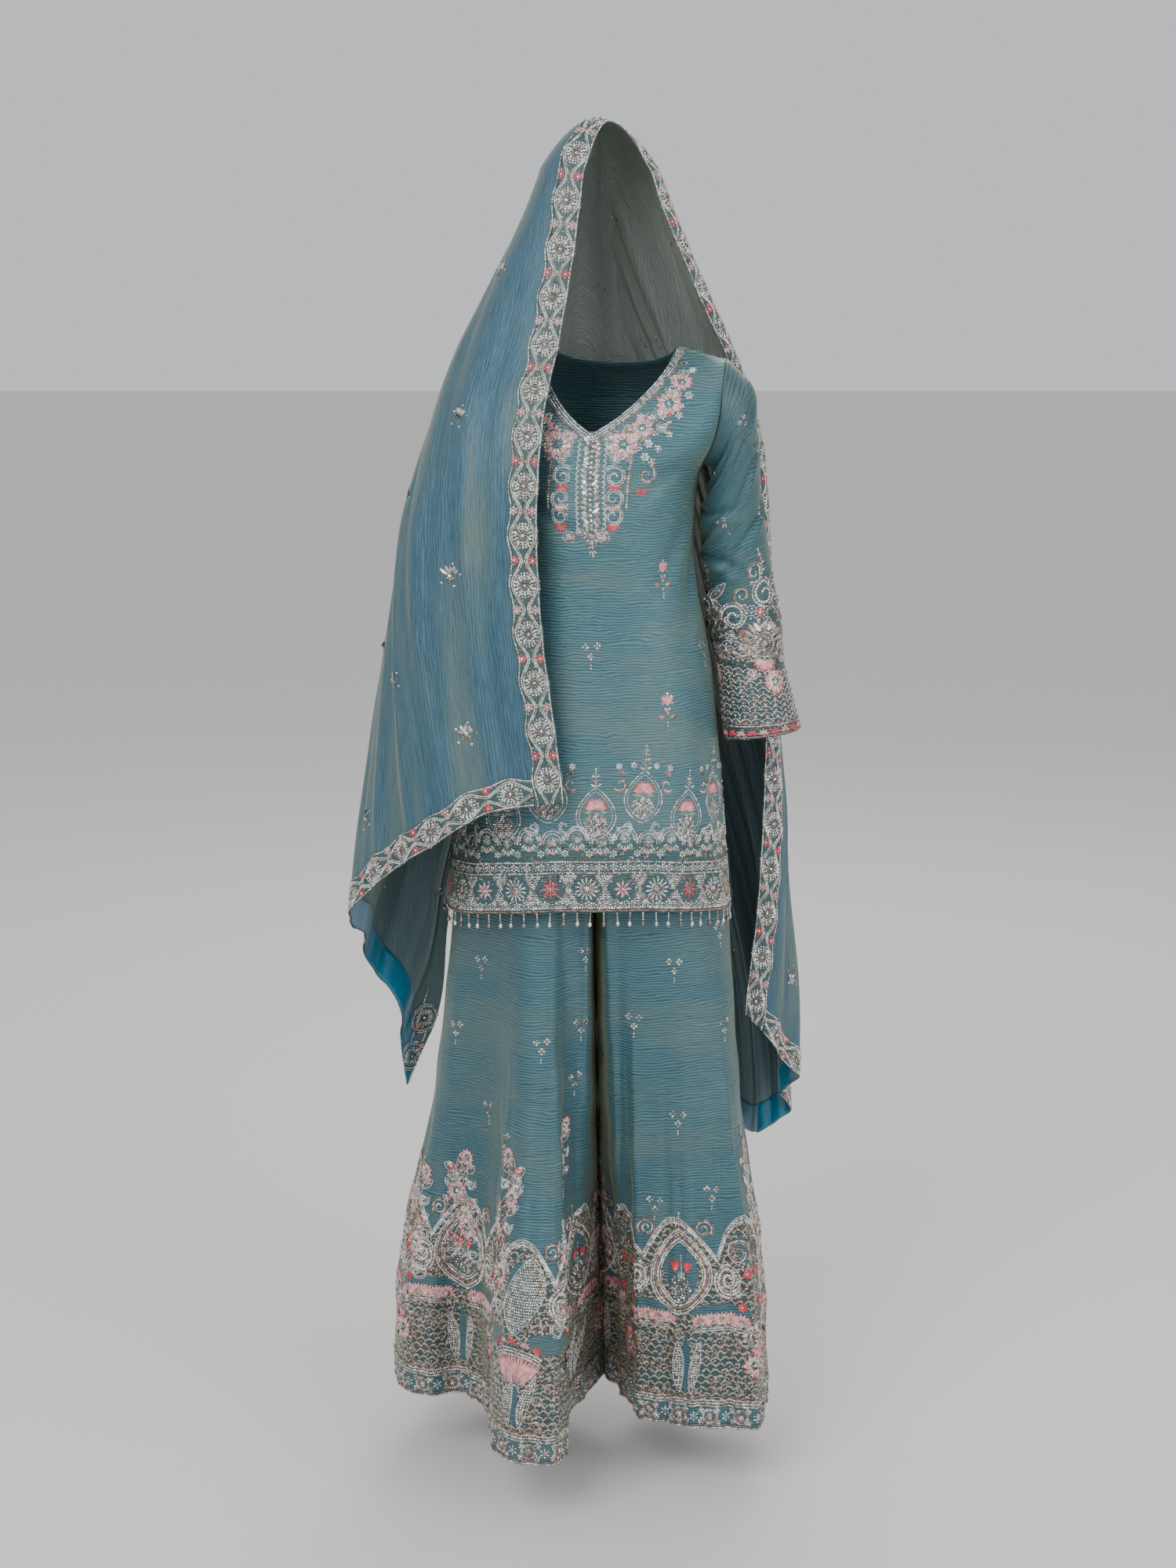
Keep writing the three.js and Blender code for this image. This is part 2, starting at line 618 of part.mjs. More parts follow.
function veilShell(round, z) {
  const ridgePlace = min(round, 1 - round);
  const below = max(0, ridgeHeight(round) - z);
  const share = min(1, below / DOME_HEIGHT) ** 0.56;
  const [x, y] = sectionPoint(round, min(z, VEIL[0].z));
  return new THREE.Vector3(
    mix(along(RIDGE, 'round', 'x', ridgePlace), x, share),
    mix(along(RIDGE, 'round', 'y', ridgePlace), y, share),
    ridgeHeight(round) - below,
  );
}

// The face edge as lengths, so that rows are spaced along the cloth.
function faceEdgeHeights(round, endZ) {
  const STEPS = 400;
  const top = ridgeHeight(round);
  const table = [{ length: 0, z: endZ }];
  let before = veilShell(round, endZ);
  for (let n = 1; n <= STEPS; n += 1) {
    const z = mix(endZ, top, 1 - (1 - n / STEPS) ** 2);
    const here = veilShell(round, z);
    table.push({ length: table[n - 1].length + here.distanceTo(before), z });
    before = here;
  }
  const full = table[STEPS].length;
  return table.map(({ length, z }) => ({ share: length / full, z, length }));
}

// Keeps what a function has worked out for each value.
function remember(work) {
  const kept = new Map();
  return (value) => {
    if (!kept.has(value)) kept.set(value, work(value));
    return kept.get(value);
  };
}

function halfVeil(side) {
  const isRight = side < 0;
  const end = isRight ? RIGHT_END : LEFT_END;
  const backEdge = isRight ? RIGHT_BACK_EDGE : LEFT_BACK_EDGE;
  const edgeRound = isRight ? 0 : 1;
  const folds = isRight ? RIGHT_VEIL_FOLDS : LEFT_VEIL_FOLDS;
  const heights = faceEdgeHeights(edgeRound, end[0].z);
  const top = ridgeHeight(edgeRound);

  const faceEdge = (s) => [edgeRound, lookUp(heights, 'share', 'z', s)];
  const back = (s) => [along(backEdge, 'along', 'round', s), along(backEdge, 'along', 'z', s)];
  const ending = (t) => [along(end, 'across', 'round', t), along(end, 'across', 'z', t)];
  const crown = (t) => {
    const onRidge = clamp01(t / RIDGE_SHARE);
    const round = mix(edgeRound, ROUND.back, onRidge);
    const down = clamp01((t - RIDGE_SHARE) / (1 - RIDGE_SHARE));
    return [round, mix(ridgeHeight(round), backEdge[backEdge.length - 1].z, down)];
  };
  const corners = [faceEdge(0), [edgeRound, top], ending(1), back(1)];
  const place = (s, t) =>
    [0, 1].map(
      (k) =>
        (1 - t) * faceEdge(s)[k] +
        t * back(s)[k] +
        (1 - s) * ending(t)[k] +
        s * crown(t)[k] -
        (1 - s) * (1 - t) * corners[0][k] -
        s * (1 - t) * corners[1][k] -
        (1 - s) * t * corners[2][k] -
        s * t * corners[3][k],
    );
  const bare = (s, t) => {
    const [round, z] = place(s, t);
    return veilShell(round, z);
  };
  const rib = remember((s) => {
    const STEPS = 90;
    const table = [{ length: 0, t: 0 }];
    let before = bare(s, 0);
    for (let n = 1; n <= STEPS; n += 1) {
      const here = bare(s, n / STEPS);
      table.push({ length: table[n - 1].length + here.distanceTo(before), t: n / STEPS });
      before = here;
    }
    return table;
  });
  const placeOnRib = (s, column) => {
    const table = rib(s);
    return lookUp(table, 'length', 't', columnLength(column, table[table.length - 1].length));
  };
  const foldHeight = (s, column) =>
    folds.reduce((total, fold) => {
      const nearness = Math.exp(-(((column - fold.across) / fold.width) ** 2));
      const fade = smooth((1 - s) / 0.55) * (1 - 0.35 * abs(s - fold.deepest));
      return total + fold.height * nearness * fade;
    }, 0);
  const normalAt = (s, t) => {
    const STEP = 0.012;
    const s0 = clamp01(s - STEP);
    const s1 = clamp01(s + STEP);
    const t0 = clamp01(t - STEP);
    const t1 = clamp01(t + STEP);
    if (s >= 1 && t <= RIDGE_SHARE) return new THREE.Vector3(0, 0, 1);
    const toward = bare(s1, t).sub(bare(s0, t));
    const across = bare(s, t1).sub(bare(s, t0));
    return toward.cross(across).multiplyScalar(-side).normalize();
  };
  const at = (s, column) => {
    const t = placeOnRib(s, column);
    const normal = normalAt(s, t);
    return { point: bare(s, t).addScaledVector(normal, foldHeight(s, column)), normal };
  };
  return { at, length: heights[heights.length - 1].length };
}

// A veil column as a length along its rib: the border strips keep their width on every rib, and
// column 0 to 1 is the cloth from the face edge to the back edge.
function columnLength(column, full) {
  if (column <= BORDER_SHARE) return (column / BORDER_SHARE) * VEIL_BORDER;
  if (column >= 1 - BORDER_SHARE) return full - ((1 - column) / BORDER_SHARE) * VEIL_BORDER;
  const field = (column - BORDER_SHARE) / (1 - 2 * BORDER_SHARE);
  return mix(VEIL_BORDER, full - VEIL_BORDER, field);
}

function lookUp(table, key, column, at) {
  const i = table.findIndex((row) => row[key] >= at);
  if (i <= 0) return table[i < 0 ? table.length - 1 : 0][column];
  const low = table[i - 1];
  const high = table[i];
  return mix(low[column], high[column], (at - low[key]) / (high[key] - low[key]));
}

// Rows of the veil as shares of each half's face edge, and columns across it. The first and the
// last column strips and the end rows carry the sewn border.
const VEIL_COLUMNS = [0, BORDER_SHARE, 0.11, 0.18, 0.26, 0.34, 0.42, 0.5, 0.58, 0.66, 0.74, 0.82, 0.89];
VEIL_COLUMNS.push(1 - BORDER_SHARE, 1);
const FALL_STEPS = 10;
const HOOD_ROWS = [0, 0.12, 0.24, 0.36, 0.48, 0.59, 0.69, 0.77, 0.84, 0.9, 0.95, 1];

const veilHalves = { right: halfVeil(-1), left: halfVeil(1) };

// A fall's rows: its end, the inner edge of the end border, and steps up to the hood.
function fallGrid(half) {
  const borderTop = VEIL_COLUMNS.map((column) => {
    const end = half.at(0, column).point;
    let s = 0;
    while (half.at(s, column).point.distanceTo(end) < VEIL_BORDER) s += 0.002;
    return s;
  });
  const steps = Array.from({ length: FALL_STEPS + 1 }, (_, n) => n / FALL_STEPS);
  return [
    VEIL_COLUMNS.map((column) => half.at(0, column)),
    ...steps.map((n) => VEIL_COLUMNS.map((column, c) => half.at(mix(borderTop[c], FALL_TOP, n), column))),
  ];
}

function gridOf(half, rows) {
  return rows.map((s) => VEIL_COLUMNS.map((column) => half.at(s, column)));
}

const veilGrids = {
  rightFall: fallGrid(veilHalves.right),
  leftFall: fallGrid(veilHalves.left),
  hood: [
    ...gridOf(veilHalves.right, HOOD_ROWS.map((n) => mix(FALL_TOP, 1, n))),
    ...gridOf(veilHalves.left, HOOD_ROWS.slice(0, -1).map((n) => mix(FALL_TOP, 1, n)).reverse()),
  ],
};

// Draws a grid's first or last row back by the seam gap, so that two stretches stand apart.
function partedRow(grid, r, neighbour) {
  return grid[r].map(({ point, normal }, c) => {
    const toward = grid[neighbour][c].point.clone().sub(point).normalize();
    return { point: point.clone().addScaledVector(toward, SEAM_GAP / 2), normal };
  });
}

function partedGrid(grid, partFirst, partLast) {
  const last = grid.length - 1;
  const parted = [...grid];
  if (partFirst) parted[0] = partedRow(grid, 0, 1);
  if (partLast) parted[last] = partedRow(grid, last, last - 1);
  return parted;
}

// A place on the triangles between the points of a grid, also a little past its edge.
function onGrid(grid, r, c) {
  const r0 = max(0, min(grid.length - 2, Math.floor(r)));
  const c0 = max(0, min(grid[0].length - 2, Math.floor(c)));
  const down = r - r0;
  const across = c - c0;
  const blend = (key) => {
    const first = grid[r0][c0][key].clone();
    const far = grid[r0 + 1][c0 + 1][key].clone();
    const corner = down > across ? grid[r0 + 1][c0][key] : grid[r0][c0 + 1][key];
    return first
      .multiplyScalar(1 - max(down, across))
      .addScaledVector(far, min(down, across))
      .addScaledVector(corner, abs(down - across));
  };
  return { point: blend('point'), normal: blend('normal').normalize() };
}

// Places along a strip, with every point of the grid below it among them.
function runPlaces(from, to, substeps) {
  const places = [from];
  for (let n = Math.ceil((from + 0.1) * substeps); n <= (to - 0.1) * substeps; n += 1) {
    places.push(n / substeps);
  }
  return [...places, to];
}

// A strip with scalloped edges, laid on one strip of a veil grid. lane says how to read the grid:
// along its rows (the long edges) or along its columns (the short ends).
function borderGrid(grid, lane, from, to) {
  const read = lane.byRow
    ? (run, inward) => onGrid(grid, run, lane.edge + lane.inward * inward)
    : (run, inward) => onGrid(grid, lane.edge + lane.inward * inward, run);
  let walked = 0;
  let before = read(from, 0).point;
  return runPlaces(from, to, lane.substeps).map((run) => {
    const here = read(run, 0).point;
    walked += here.distanceTo(before);
    before = here;
    const wave = (SCALLOP * cos((2 * PI * walked) / MEDALLION_PITCH)) / VEIL_BORDER;
    return [read(run, -0.02 - max(0, wave)), read(run, 0.45), read(run, 0.9 + wave)];
  });
}

// Bead drops: strands with a faceted drop, hanging from one narrow strip under the hem.
function fringeGeometry(facing) {
  const STRIP = 2;
  const columns = KURTI_COLUMNS.slice(1, -1);
  const hem = columns.map((angle) => kurtiGridPoint(facing, angle));
  const layer = (offset, drop) =>
    hem.map(({ point, normal }) =>
      point.clone().addScaledVector(normal, offset).add(new THREE.Vector3(0, 0, -drop)),
    );
  const outer = [layer(0, SEAM_GAP), layer(0, SEAM_GAP + STRIP)];
  const inner = [layer(-STRIP, SEAM_GAP), layer(-STRIP, SEAM_GAP + STRIP)];
  const solids = [toSolid(wallGeometry(outer, inner))];
  const middle = layer(-STRIP / 2, SEAM_GAP + STRIP);
  let ahead = DROP_PITCH / 2;
  for (let n = 1; n < middle.length; n += 1) {
    const span = middle[n].distanceTo(middle[n - 1]);
    while (ahead < span) {
      const root = middle[n - 1].clone().lerp(middle[n], ahead / span);
      solids.push(toSolid(dropGeometry(root)));
      ahead += DROP_PITCH;
    }
    ahead -= span;
  }
  return fromSolid(wasm.Manifold.union(solids));
}

function kurtiGridPoint(facing, angle) {
  const grid = facing < 0 ? kurtiFront : kurtiBack;
  return grid[0][KURTI_COLUMNS.indexOf(angle)];
}

function dropGeometry(root) {
  const THREAD = 0.7;
  const DROP = 2.4;
  const profile = [
    new THREE.Vector2(0, -DROP_LENGTH),
    new THREE.Vector2(DROP, -DROP_LENGTH + 6),
    new THREE.Vector2(THREAD, -DROP_LENGTH + 10),
    new THREE.Vector2(THREAD, 1),
    new THREE.Vector2(0, 1),
  ];
  const geometry = new THREE.LatheGeometry(profile, 3);
  geometry.rotateX(PI / 2);
  geometry.translate(root.x, root.y, root.z);
  return geometry;
}

function toSolid(geometry) {
  geometry.deleteAttribute('normal');
  geometry.deleteAttribute('uv');
  const merged = mergeVertices(geometry, 1e-4);
  return new wasm.Manifold(
    new wasm.Mesh({
      numProp: 3,
      vertProperties: new Float32Array(merged.attributes.position.array),
      triVerts: new Uint32Array(merged.index.array),
    }),
  );
}

function fromSolid(solid) {
  const mesh = solid.getMesh();
  const geometry = new THREE.BufferGeometry();
  geometry.setAttribute('position', new THREE.Float32BufferAttribute(mesh.vertProperties, 3));
  geometry.setIndex([...mesh.triVerts]);
  return geometry;
}

// Kurti pieces
const kurtiFront = kurtiGrid(-1);
const kurtiBack = kurtiGrid(1);
addPiece('kurti_front', wall(kurtiFront, 0, SUIT_WALL), KURTI_SILK);
addPiece('kurti_back', wall(kurtiBack, 0, SUIT_WALL), KURTI_SILK);
addPiece('sleeve_left', wall(sleeveGrid(1), 0, SUIT_WALL, true), KURTI_SILK);
addPiece('sleeve_right', wall(sleeveGrid(-1), 0, SUIT_WALL, true), KURTI_SILK);
addPiece('front_bead_drops', fringeGeometry(-1), BEADS);
addPiece('back_bead_drops', fringeGeometry(1), BEADS);

// Palazzo pieces
addPiece('palazzo_waistband', wall(waistbandGrid(), 0, SUIT_WALL, true), PALAZZO_SILK);
const legs = [
  { name: 'palazzo_right_front', side: -1, facing: -1, folds: RIGHT_FRONT_FOLDS },
  { name: 'palazzo_right_back', side: -1, facing: 1, folds: RIGHT_BACK_FOLDS },
  { name: 'palazzo_left_front', side: 1, facing: -1, folds: LEFT_FRONT_FOLDS },
  { name: 'palazzo_left_back', side: 1, facing: 1, folds: LEFT_BACK_FOLDS },
];
for (const { name, side, facing, folds } of legs) {
  const panel = palazzoGrid(side, facing, folds);
  for (const stretch of PALAZZO_STRETCHES) {
    const rows = panel.slice(stretch.first, stretch.last + 1);
    const grid = partedGrid(rows, stretch.first > 0, stretch.last < panel.length - 1);
    addPiece(`${name}_${stretch.name}`, wall(grid, 0, SUIT_WALL), PALAZZO_SILK);
  }
}

// Dupatta: three stretches, the border on all its edges and the facing inside both ends
const veilPieces = {
  dupatta_right_fall: partedGrid(veilGrids.rightFall, false, true),
  dupatta_hood: partedGrid(veilGrids.hood, true, true),
  dupatta_left_fall: partedGrid(veilGrids.leftFall, false, true),
};
for (const [name, grid] of Object.entries(veilPieces)) {
  addPiece(name, wall(grid, 0, VEIL_WALL), VEIL_TISSUE);
}

const lastColumn = VEIL_COLUMNS.length - 1;
const stretches = [
  { name: 'right', grid: veilGrids.rightFall },
  { name: 'hood', grid: veilGrids.hood },
  { name: 'left', grid: veilGrids.leftFall },
];
const borderOffset = LAID_GAP + BORDER_WALL;
for (const { name, grid } of stretches) {
  const face = { byRow: true, edge: 0, inward: 1, substeps: 3 };
  const back = { byRow: true, edge: lastColumn, inward: -1, substeps: 1 };
  const end = grid.length - 1 - 0.01;
  const start = name === 'hood' ? 0.01 : 0;
  const faceStrip = borderGrid(grid, face, start, end);
  const backStrip = borderGrid(grid, back, start, end);
  addPiece(`border_face_${name}`, wall(faceStrip, borderOffset, BORDER_WALL), BORDER_WORK);
  addPiece(`border_back_${name}`, wall(backStrip, borderOffset, BORDER_WALL), BORDER_WORK);
}
for (const { name, grid } of [stretches[0], stretches[2]]) {
  const lane = { byRow: false, edge: 0, inward: 1, substeps: 4 };
  const strip = borderGrid(grid, lane, 1.05, lastColumn - 1.05);
  addPiece(`border_end_${name}`, wall(strip, borderOffset, BORDER_WALL), BORDER_WORK);
  const facingLane = { byRow: false, edge: 0, inward: FACING_WIDTH / VEIL_BORDER, substeps: 3 };
  const facingStrip = borderGrid(grid, facingLane, 0, lastColumn);
  addPiece(`facing_end_${name}`, wall(facingStrip, -VEIL_WALL - LAID_GAP, FACING_WALL), SATIN);
}

export default suit;
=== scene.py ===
"""The palazzo suit's looks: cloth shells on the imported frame, with borders and bead embroidery.

Lengths are millimetres in the tables and functions, and metres in the finished meshes.
"""
import math

import bmesh
import bpy
import numpy as np
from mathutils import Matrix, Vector


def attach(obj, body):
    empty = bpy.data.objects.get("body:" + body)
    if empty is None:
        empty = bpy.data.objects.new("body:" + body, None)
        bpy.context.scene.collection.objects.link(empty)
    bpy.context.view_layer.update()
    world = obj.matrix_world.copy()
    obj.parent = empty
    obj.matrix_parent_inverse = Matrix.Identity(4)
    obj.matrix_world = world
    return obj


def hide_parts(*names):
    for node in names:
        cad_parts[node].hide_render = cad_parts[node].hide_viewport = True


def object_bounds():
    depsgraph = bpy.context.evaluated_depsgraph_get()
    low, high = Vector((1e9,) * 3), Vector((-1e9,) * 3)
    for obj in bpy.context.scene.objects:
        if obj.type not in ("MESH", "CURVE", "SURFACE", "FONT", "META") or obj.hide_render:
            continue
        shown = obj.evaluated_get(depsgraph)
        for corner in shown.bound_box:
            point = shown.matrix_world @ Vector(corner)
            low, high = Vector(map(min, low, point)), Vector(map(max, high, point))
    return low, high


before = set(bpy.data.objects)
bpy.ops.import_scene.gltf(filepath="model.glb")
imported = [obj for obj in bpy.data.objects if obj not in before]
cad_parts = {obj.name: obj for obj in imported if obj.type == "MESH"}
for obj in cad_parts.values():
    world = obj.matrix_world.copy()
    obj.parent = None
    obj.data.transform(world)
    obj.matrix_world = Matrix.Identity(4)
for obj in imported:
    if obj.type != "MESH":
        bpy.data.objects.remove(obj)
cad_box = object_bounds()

random = np.random.default_rng(7)


# Camera: the photograph's viewing angle, in metres, millimetres of lens and degrees
CAMERA_PLACE, CAMERA_DOWN = (-0.03085, -3.14121, 0.04292), 11
CAMERA_LENS, CAMERA_SENSOR = 55.93, 36.0


def make_camera():
    data = bpy.data.cameras.new("camera")
    data.sensor_width = CAMERA_SENSOR
    data.lens = CAMERA_LENS
    camera = bpy.data.objects.new("camera", data)
    camera.location = CAMERA_PLACE
    camera.rotation_euler = (math.radians(90 - CAMERA_DOWN), 0.0, 0.0)
    bpy.context.scene.collection.objects.link(camera)
    bpy.context.scene.camera = camera


make_camera()


# Tables: one array for each named column
def table(columns, rows):
    values = np.array(rows, float)
    return {name: values[:, n] for n, name in enumerate(columns.split())}


KURTI = table("z centre turn half front back", [
    (-730, -30, -3, 187, 150, 150),
    (-600, -28, -1, 174, 146, 144),
    (-420, -22, 3, 154, 131, 130),
    (-357, -22, 5, 144, 128, 120),
    (-320, -22, 6, 136, 127, 112),
    (-280, -20, 7, 128, 128, 106),
    (-235, -18, 8, 124, 132, 104),
    (-195, -15, 9, 123, 134, 106),
    (-157, -11, 10, 125, 130, 108),
    (-125, -8, 10, 140, 121, 107),
    (-95, -6, 10, 148, 108, 103),
    (-60, -3, 10, 149, 84, 92),
    (-30, -1, 10, 148, 52, 68),
    (-14, 0, 10, 146, 26, 38),
    (2, 0, 10, 146, 4, 4),
])
FRONT_NECKLINE = table("across z", [
    (0, -106), (20, -93), (42, -74), (62, -51), (74, -33), (81, -17), (85, 0),
])
BACK_NECKLINE = table("across z", [(0, -22), (50, -18), (74, -9), (85, 0)])
SLEEVE = table("x y hidden_x hidden_y z across deep tilt", [
    (152, -26, -178.7, 25, -104, 58, 48, 64),
    (152, -22, -177, 22, -142, 57, 51, 56),
    (150, -16, -176, 20, -180, 54, 52, 47),
    (153, -12, -183, 18, -222, 47, 52, 33),
    (158, -9, -188, 15, -256, 45, 52, 25),
    (165, -8, -200, 10, -312, 45, 51, 13),
    (171, -10, -210, 4, -349, 47, 50, 5),
    (178, -15, -218, -4, -398, 45, 48, -4),
    (187, -26, -227, -16, -444, 47, 47, -3),
    (194, -38, -236, -30, -492, 50, 46, 8),
])
HIPS = table("z left right front back", [
    (-330, -142, 94, 94, 92),
    (-420, -166, 119, 106, 108),
    (-560, -186, 130, 112, 118),
    (-735, -196, 147.3, 115, 122),
])
SPREAD = table("z share", [
    (-420, 0), (-735, 0.14), (-880, 0.29), (-950, 0.37), (-1045, 0.5), (-1103, 0.64),
    (-1162, 0.76), (-1223, 0.88), (-1300, 0.96), (-1410, 1),
])
FOLDS = {
    (-1, -1): table("angle x y", [
        (90, -293, 0), (77, -254, -44), (64, -216, -30), (53, -191, -36), (43, -170, -80),
        (36, -158, -152), (30, -141, -222), (25, -104, -246), (19, -68, -238), (12, -60, -118),
        (6, -46, -62), (1, -31, -26),
    ]),
    (-1, 1): table("angle x y", [
        (90, -293, 0), (78, -286, 68), (66, -252, 128), (52, -208, 112), (38, -166, 158),
        (26, -120, 168), (15, -80, 140), (5, -14, 84), (1, 2, 52),
    ]),
    (1, -1): table("angle x y", [
        (90, 207, -30), (77, 205, -104), (65, 189, -139), (52, 152, -140), (39, 107, -134),
        (27, 66, -122), (17, 36, -102), (10, 24, -58), (3, 12, -14),
    ]),
    (1, 1): table("angle x y", [
        (90, 207, -30), (76, 211, 42), (62, 184, 106), (48, 142, 92), (34, 106, 140),
        (21, 62, 150), (10, 28, 106), (3, 16, 74), (1, 9, 48),
    ]),
}
VEIL = table("z rx ry sx sy bx by tx ty lx ly", [
    (215, -36, -50, -92, 25, -12, 118, 58, 15, 46, -40),
    (164, -42, -58, -112, 22, -12, 126, 78, 10, 63, -41),
    (110, -49, -66, -138, 18, -10, 132, 101, 12, 87, -30),
    (50, -59, -80, -166, 12, -8, 137, 129, 26, 114, -10),
    (-6, -69, -98, -193, 6, -5, 141, 156, 44, 142, 14),
    (-57, -81, -120, -213, 0, -5, 145, 176, 58, 163, 33),
    (-117, -89, -140, -233, -8, -5, 150, 195, 74, 182, 50),
    (-175, -93, -150, -252, -16, -5, 155, 203, 86, 193, 60),
    (-231, -94, -155, -268, -22, -5, 160, 208, 92, 198, 64),
    (-344, -88, -163, -287, -29, -8, 170, 214, 94, 204, 64),
    (-454, -74, -170, -301, -33, -10, 180, 220, 93, 206, 57),
    (-555, -62, -178, -313, -34, -10, 189, 230, 92, 205, 47),
    (-650, -62, -176, -327, -31, -10, 197, 239, 92, 202, 41),
    (-755, -62, -172, -341, -28, -10, 205, 242, 92, 196, 37),
    (-892, -62, -170, -344, -18, -10, 212, 251, 93, 182, 33),
    (-1110, -62, -170, -348, -8, -10, 216, 252, 98, 181, 33),
])
RIDGE = table("round x y z", [
    (0, -5, -14, 273), (0.15, -22, 12, 280), (0.35, -20, 42, 277), (0.5, -16, 62, 268),
])
VEIL_ENDS = {
    -1: table("across round z", [
        (0, 0, -557), (0.1, 0.052, -571), (0.2, 0.1, -618), (0.32, 0.155, -662),
        (0.44, 0.21, -722), (0.54, 0.25, -754), (0.65, 0.29, -788), (0.76, 0.318, -842),
        (0.86, 0.338, -905), (1, 0.352, -1022),
    ]),
    1: table("across round z", [
        (0, 1, -892), (0.08, 0.945, -938), (0.18, 0.885, -985), (0.25, 0.85, -1008),
        (0.36, 0.805, -1048), (0.5, 0.752, -1088), (0.75, 0.685, -1104), (1, 0.62, -1062),
    ]),
}
VEIL_BACK_EDGES = {
    -1: table("along round z", [
        (0, 0.352, -1022), (0.13, 0.383, -925), (0.3, 0.392, -800), (0.46, 0.402, -690),
        (0.64, 0.428, -590), (0.82, 0.46, -525), (1, 0.5, -495),
    ]),
    1: table("along round z", [
        (0, 0.62, -1062), (0.2, 0.602, -915), (0.4, 0.586, -775), (0.6, 0.564, -645),
        (0.8, 0.536, -545), (1, 0.5, -495),
    ]),
}
VEIL_FOLDS = {
    -1: table("across width height deepest", [
        (0.2, 0.05, 9, 0.1), (0.34, 0.045, -9, 0.15), (0.47, 0.05, 10, 0),
        (0.6, 0.045, -12, 0.15), (0.72, 0.05, 14, 0.1), (0.85, 0.05, -14, 0.15),
    ]),
    1: table("across width height deepest", [
        (0.18, 0.05, -8, 0.3), (0.32, 0.05, 10, 0.1), (0.46, 0.05, -14, 0.2),
        (0.6, 0.05, 14, 0.1), (0.74, 0.05, -14, 0.2), (0.88, 0.05, 12, 0.1),
    ]),
}

ARMHOLE_MIDDLE, ARMHOLE_HALF = -83, 67
ARMHOLE_HOLLOW = {-1: 50, 1: 46}
SHOULDER_HALF, SHOULDER_REACH, SHOULDER_DROP, NECK_HALF = 146, 149, 16, 85
KURTI_ROUNDNESS = 0.87
SLIT_TOP, SLIT_LENGTH, SLIT_OPENING, BACK_SLIT_FLARE = -600, 120, 7, 6
HEM_MIDDLE, HEM_SIDE_DROP = -704, 20
HIDDEN_SLEEVE_SHARE = 0.84
CROTCH_TOP, CROTCH, CROTCH_DEPTH, PALAZZO_HEM = -560, -690, 12, -1410
WAIST, WAISTBAND_HEIGHT = -330, 35
VEIL_BORDER, VEIL_WIDTH, RIDGE_SHARE, DOME_HEIGHT = 38, 850, 0.11, 62
BORDER_SHARE = VEIL_BORDER / VEIL_WIDTH
SEAM_GAP = 0.3
PITCH = 60
SILK_THICK, VEIL_THICK, TRIM_THICK = 1.0, 0.6, 0.5
# Rows and columns of each cloth
KURTI_GRID, SLEEVE_GRID, PALAZZO_GRID, VEIL_GRID = (110, 80), (90, 61), (100, 70), (170, 110)


# Curves through tables
def hermite(keys, values, at):
    """Smooth curve through values, whose last axis runs along the rising keys."""
    at = np.clip(at, keys[0], keys[-1])
    i = np.clip(np.searchsorted(keys, at, side="left") - 1, 0, len(keys) - 2)
    step = keys[i + 1] - keys[i]
    share = (at - keys[i]) / step
    before = np.maximum(i - 1, 0)
    after = np.minimum(i + 2, len(keys) - 1)
    a, b = values[..., i], values[..., i + 1]
    leave = (b - values[..., before]) / (keys[i + 1] - keys[before]) * step
    arrive = (values[..., after] - a) / (keys[after] - keys[i]) * step
    cubic = 2 * (a - b) + leave + arrive
    square = 3 * (b - a) - 2 * leave - arrive
    return ((cubic * share + square) * share + leave) * share + a


def along(rows, key, column, at):
    keys, values = rows[key], rows[column]
    if keys[-1] < keys[0]:
        keys, values = keys[::-1], values[::-1]
    return hermite(keys, values, np.asarray(at, float))


def mix(a, b, share):
    return a + (b - a) * share


def smooth(value):
    share = np.clip(value, 0, 1)
    return share * share * (3 - 2 * share)


def stack(x, y, z):
    return np.stack(np.broadcast_arrays(x, y, z), axis=-1).astype(float)


def unit(vectors):
    return vectors / np.maximum(np.linalg.norm(vectors, axis=-1, keepdims=True), 1e-9)


def flattened(vectors, normals):
    """The vectors without their share along the normals, at unit length."""
    return unit(vectors - normals * np.sum(vectors * normals, axis=-1, keepdims=True))


def path_lengths(points):
    """The length along a path from its first point to each."""
    return np.concatenate([[0], np.cumsum(np.linalg.norm(np.diff(points, axis=0), axis=-1))])


def even_places(lengths, spacing):
    """The middles of equal steps along a path, about one spacing long."""
    count = max(1, round(lengths[-1] / spacing))
    return (np.arange(count) + 0.5) * lengths[-1] / count


def sampled(at, lengths, points):
    return np.stack([np.interp(at, lengths, points[:, k]) for k in range(points.shape[1])], axis=1)


def crease(run, across, deep, shoulder, shift):
    """A soft trough with a ridge beside it."""
    return deep * (shoulder * np.exp(-(run ** 2) - (across - shift) ** 2) - np.exp(-(run ** 2) - across ** 2))


# A cloth: a grid of points with lengths along and across, which finds the place of any stitch
def grid_normals(points, outward):
    return unit(np.cross(np.gradient(points, axis=0), np.gradient(points, axis=1)) * outward)


def row_lengths(points):
    steps = np.linalg.norm(np.diff(points, axis=1), axis=-1)
    return np.concatenate([np.zeros((len(points), 1)), np.cumsum(steps, axis=1)], axis=1)


def arc_lengths(points, zero_column):
    lengths = row_lengths(points)
    return lengths - lengths[:, zero_column:zero_column + 1]


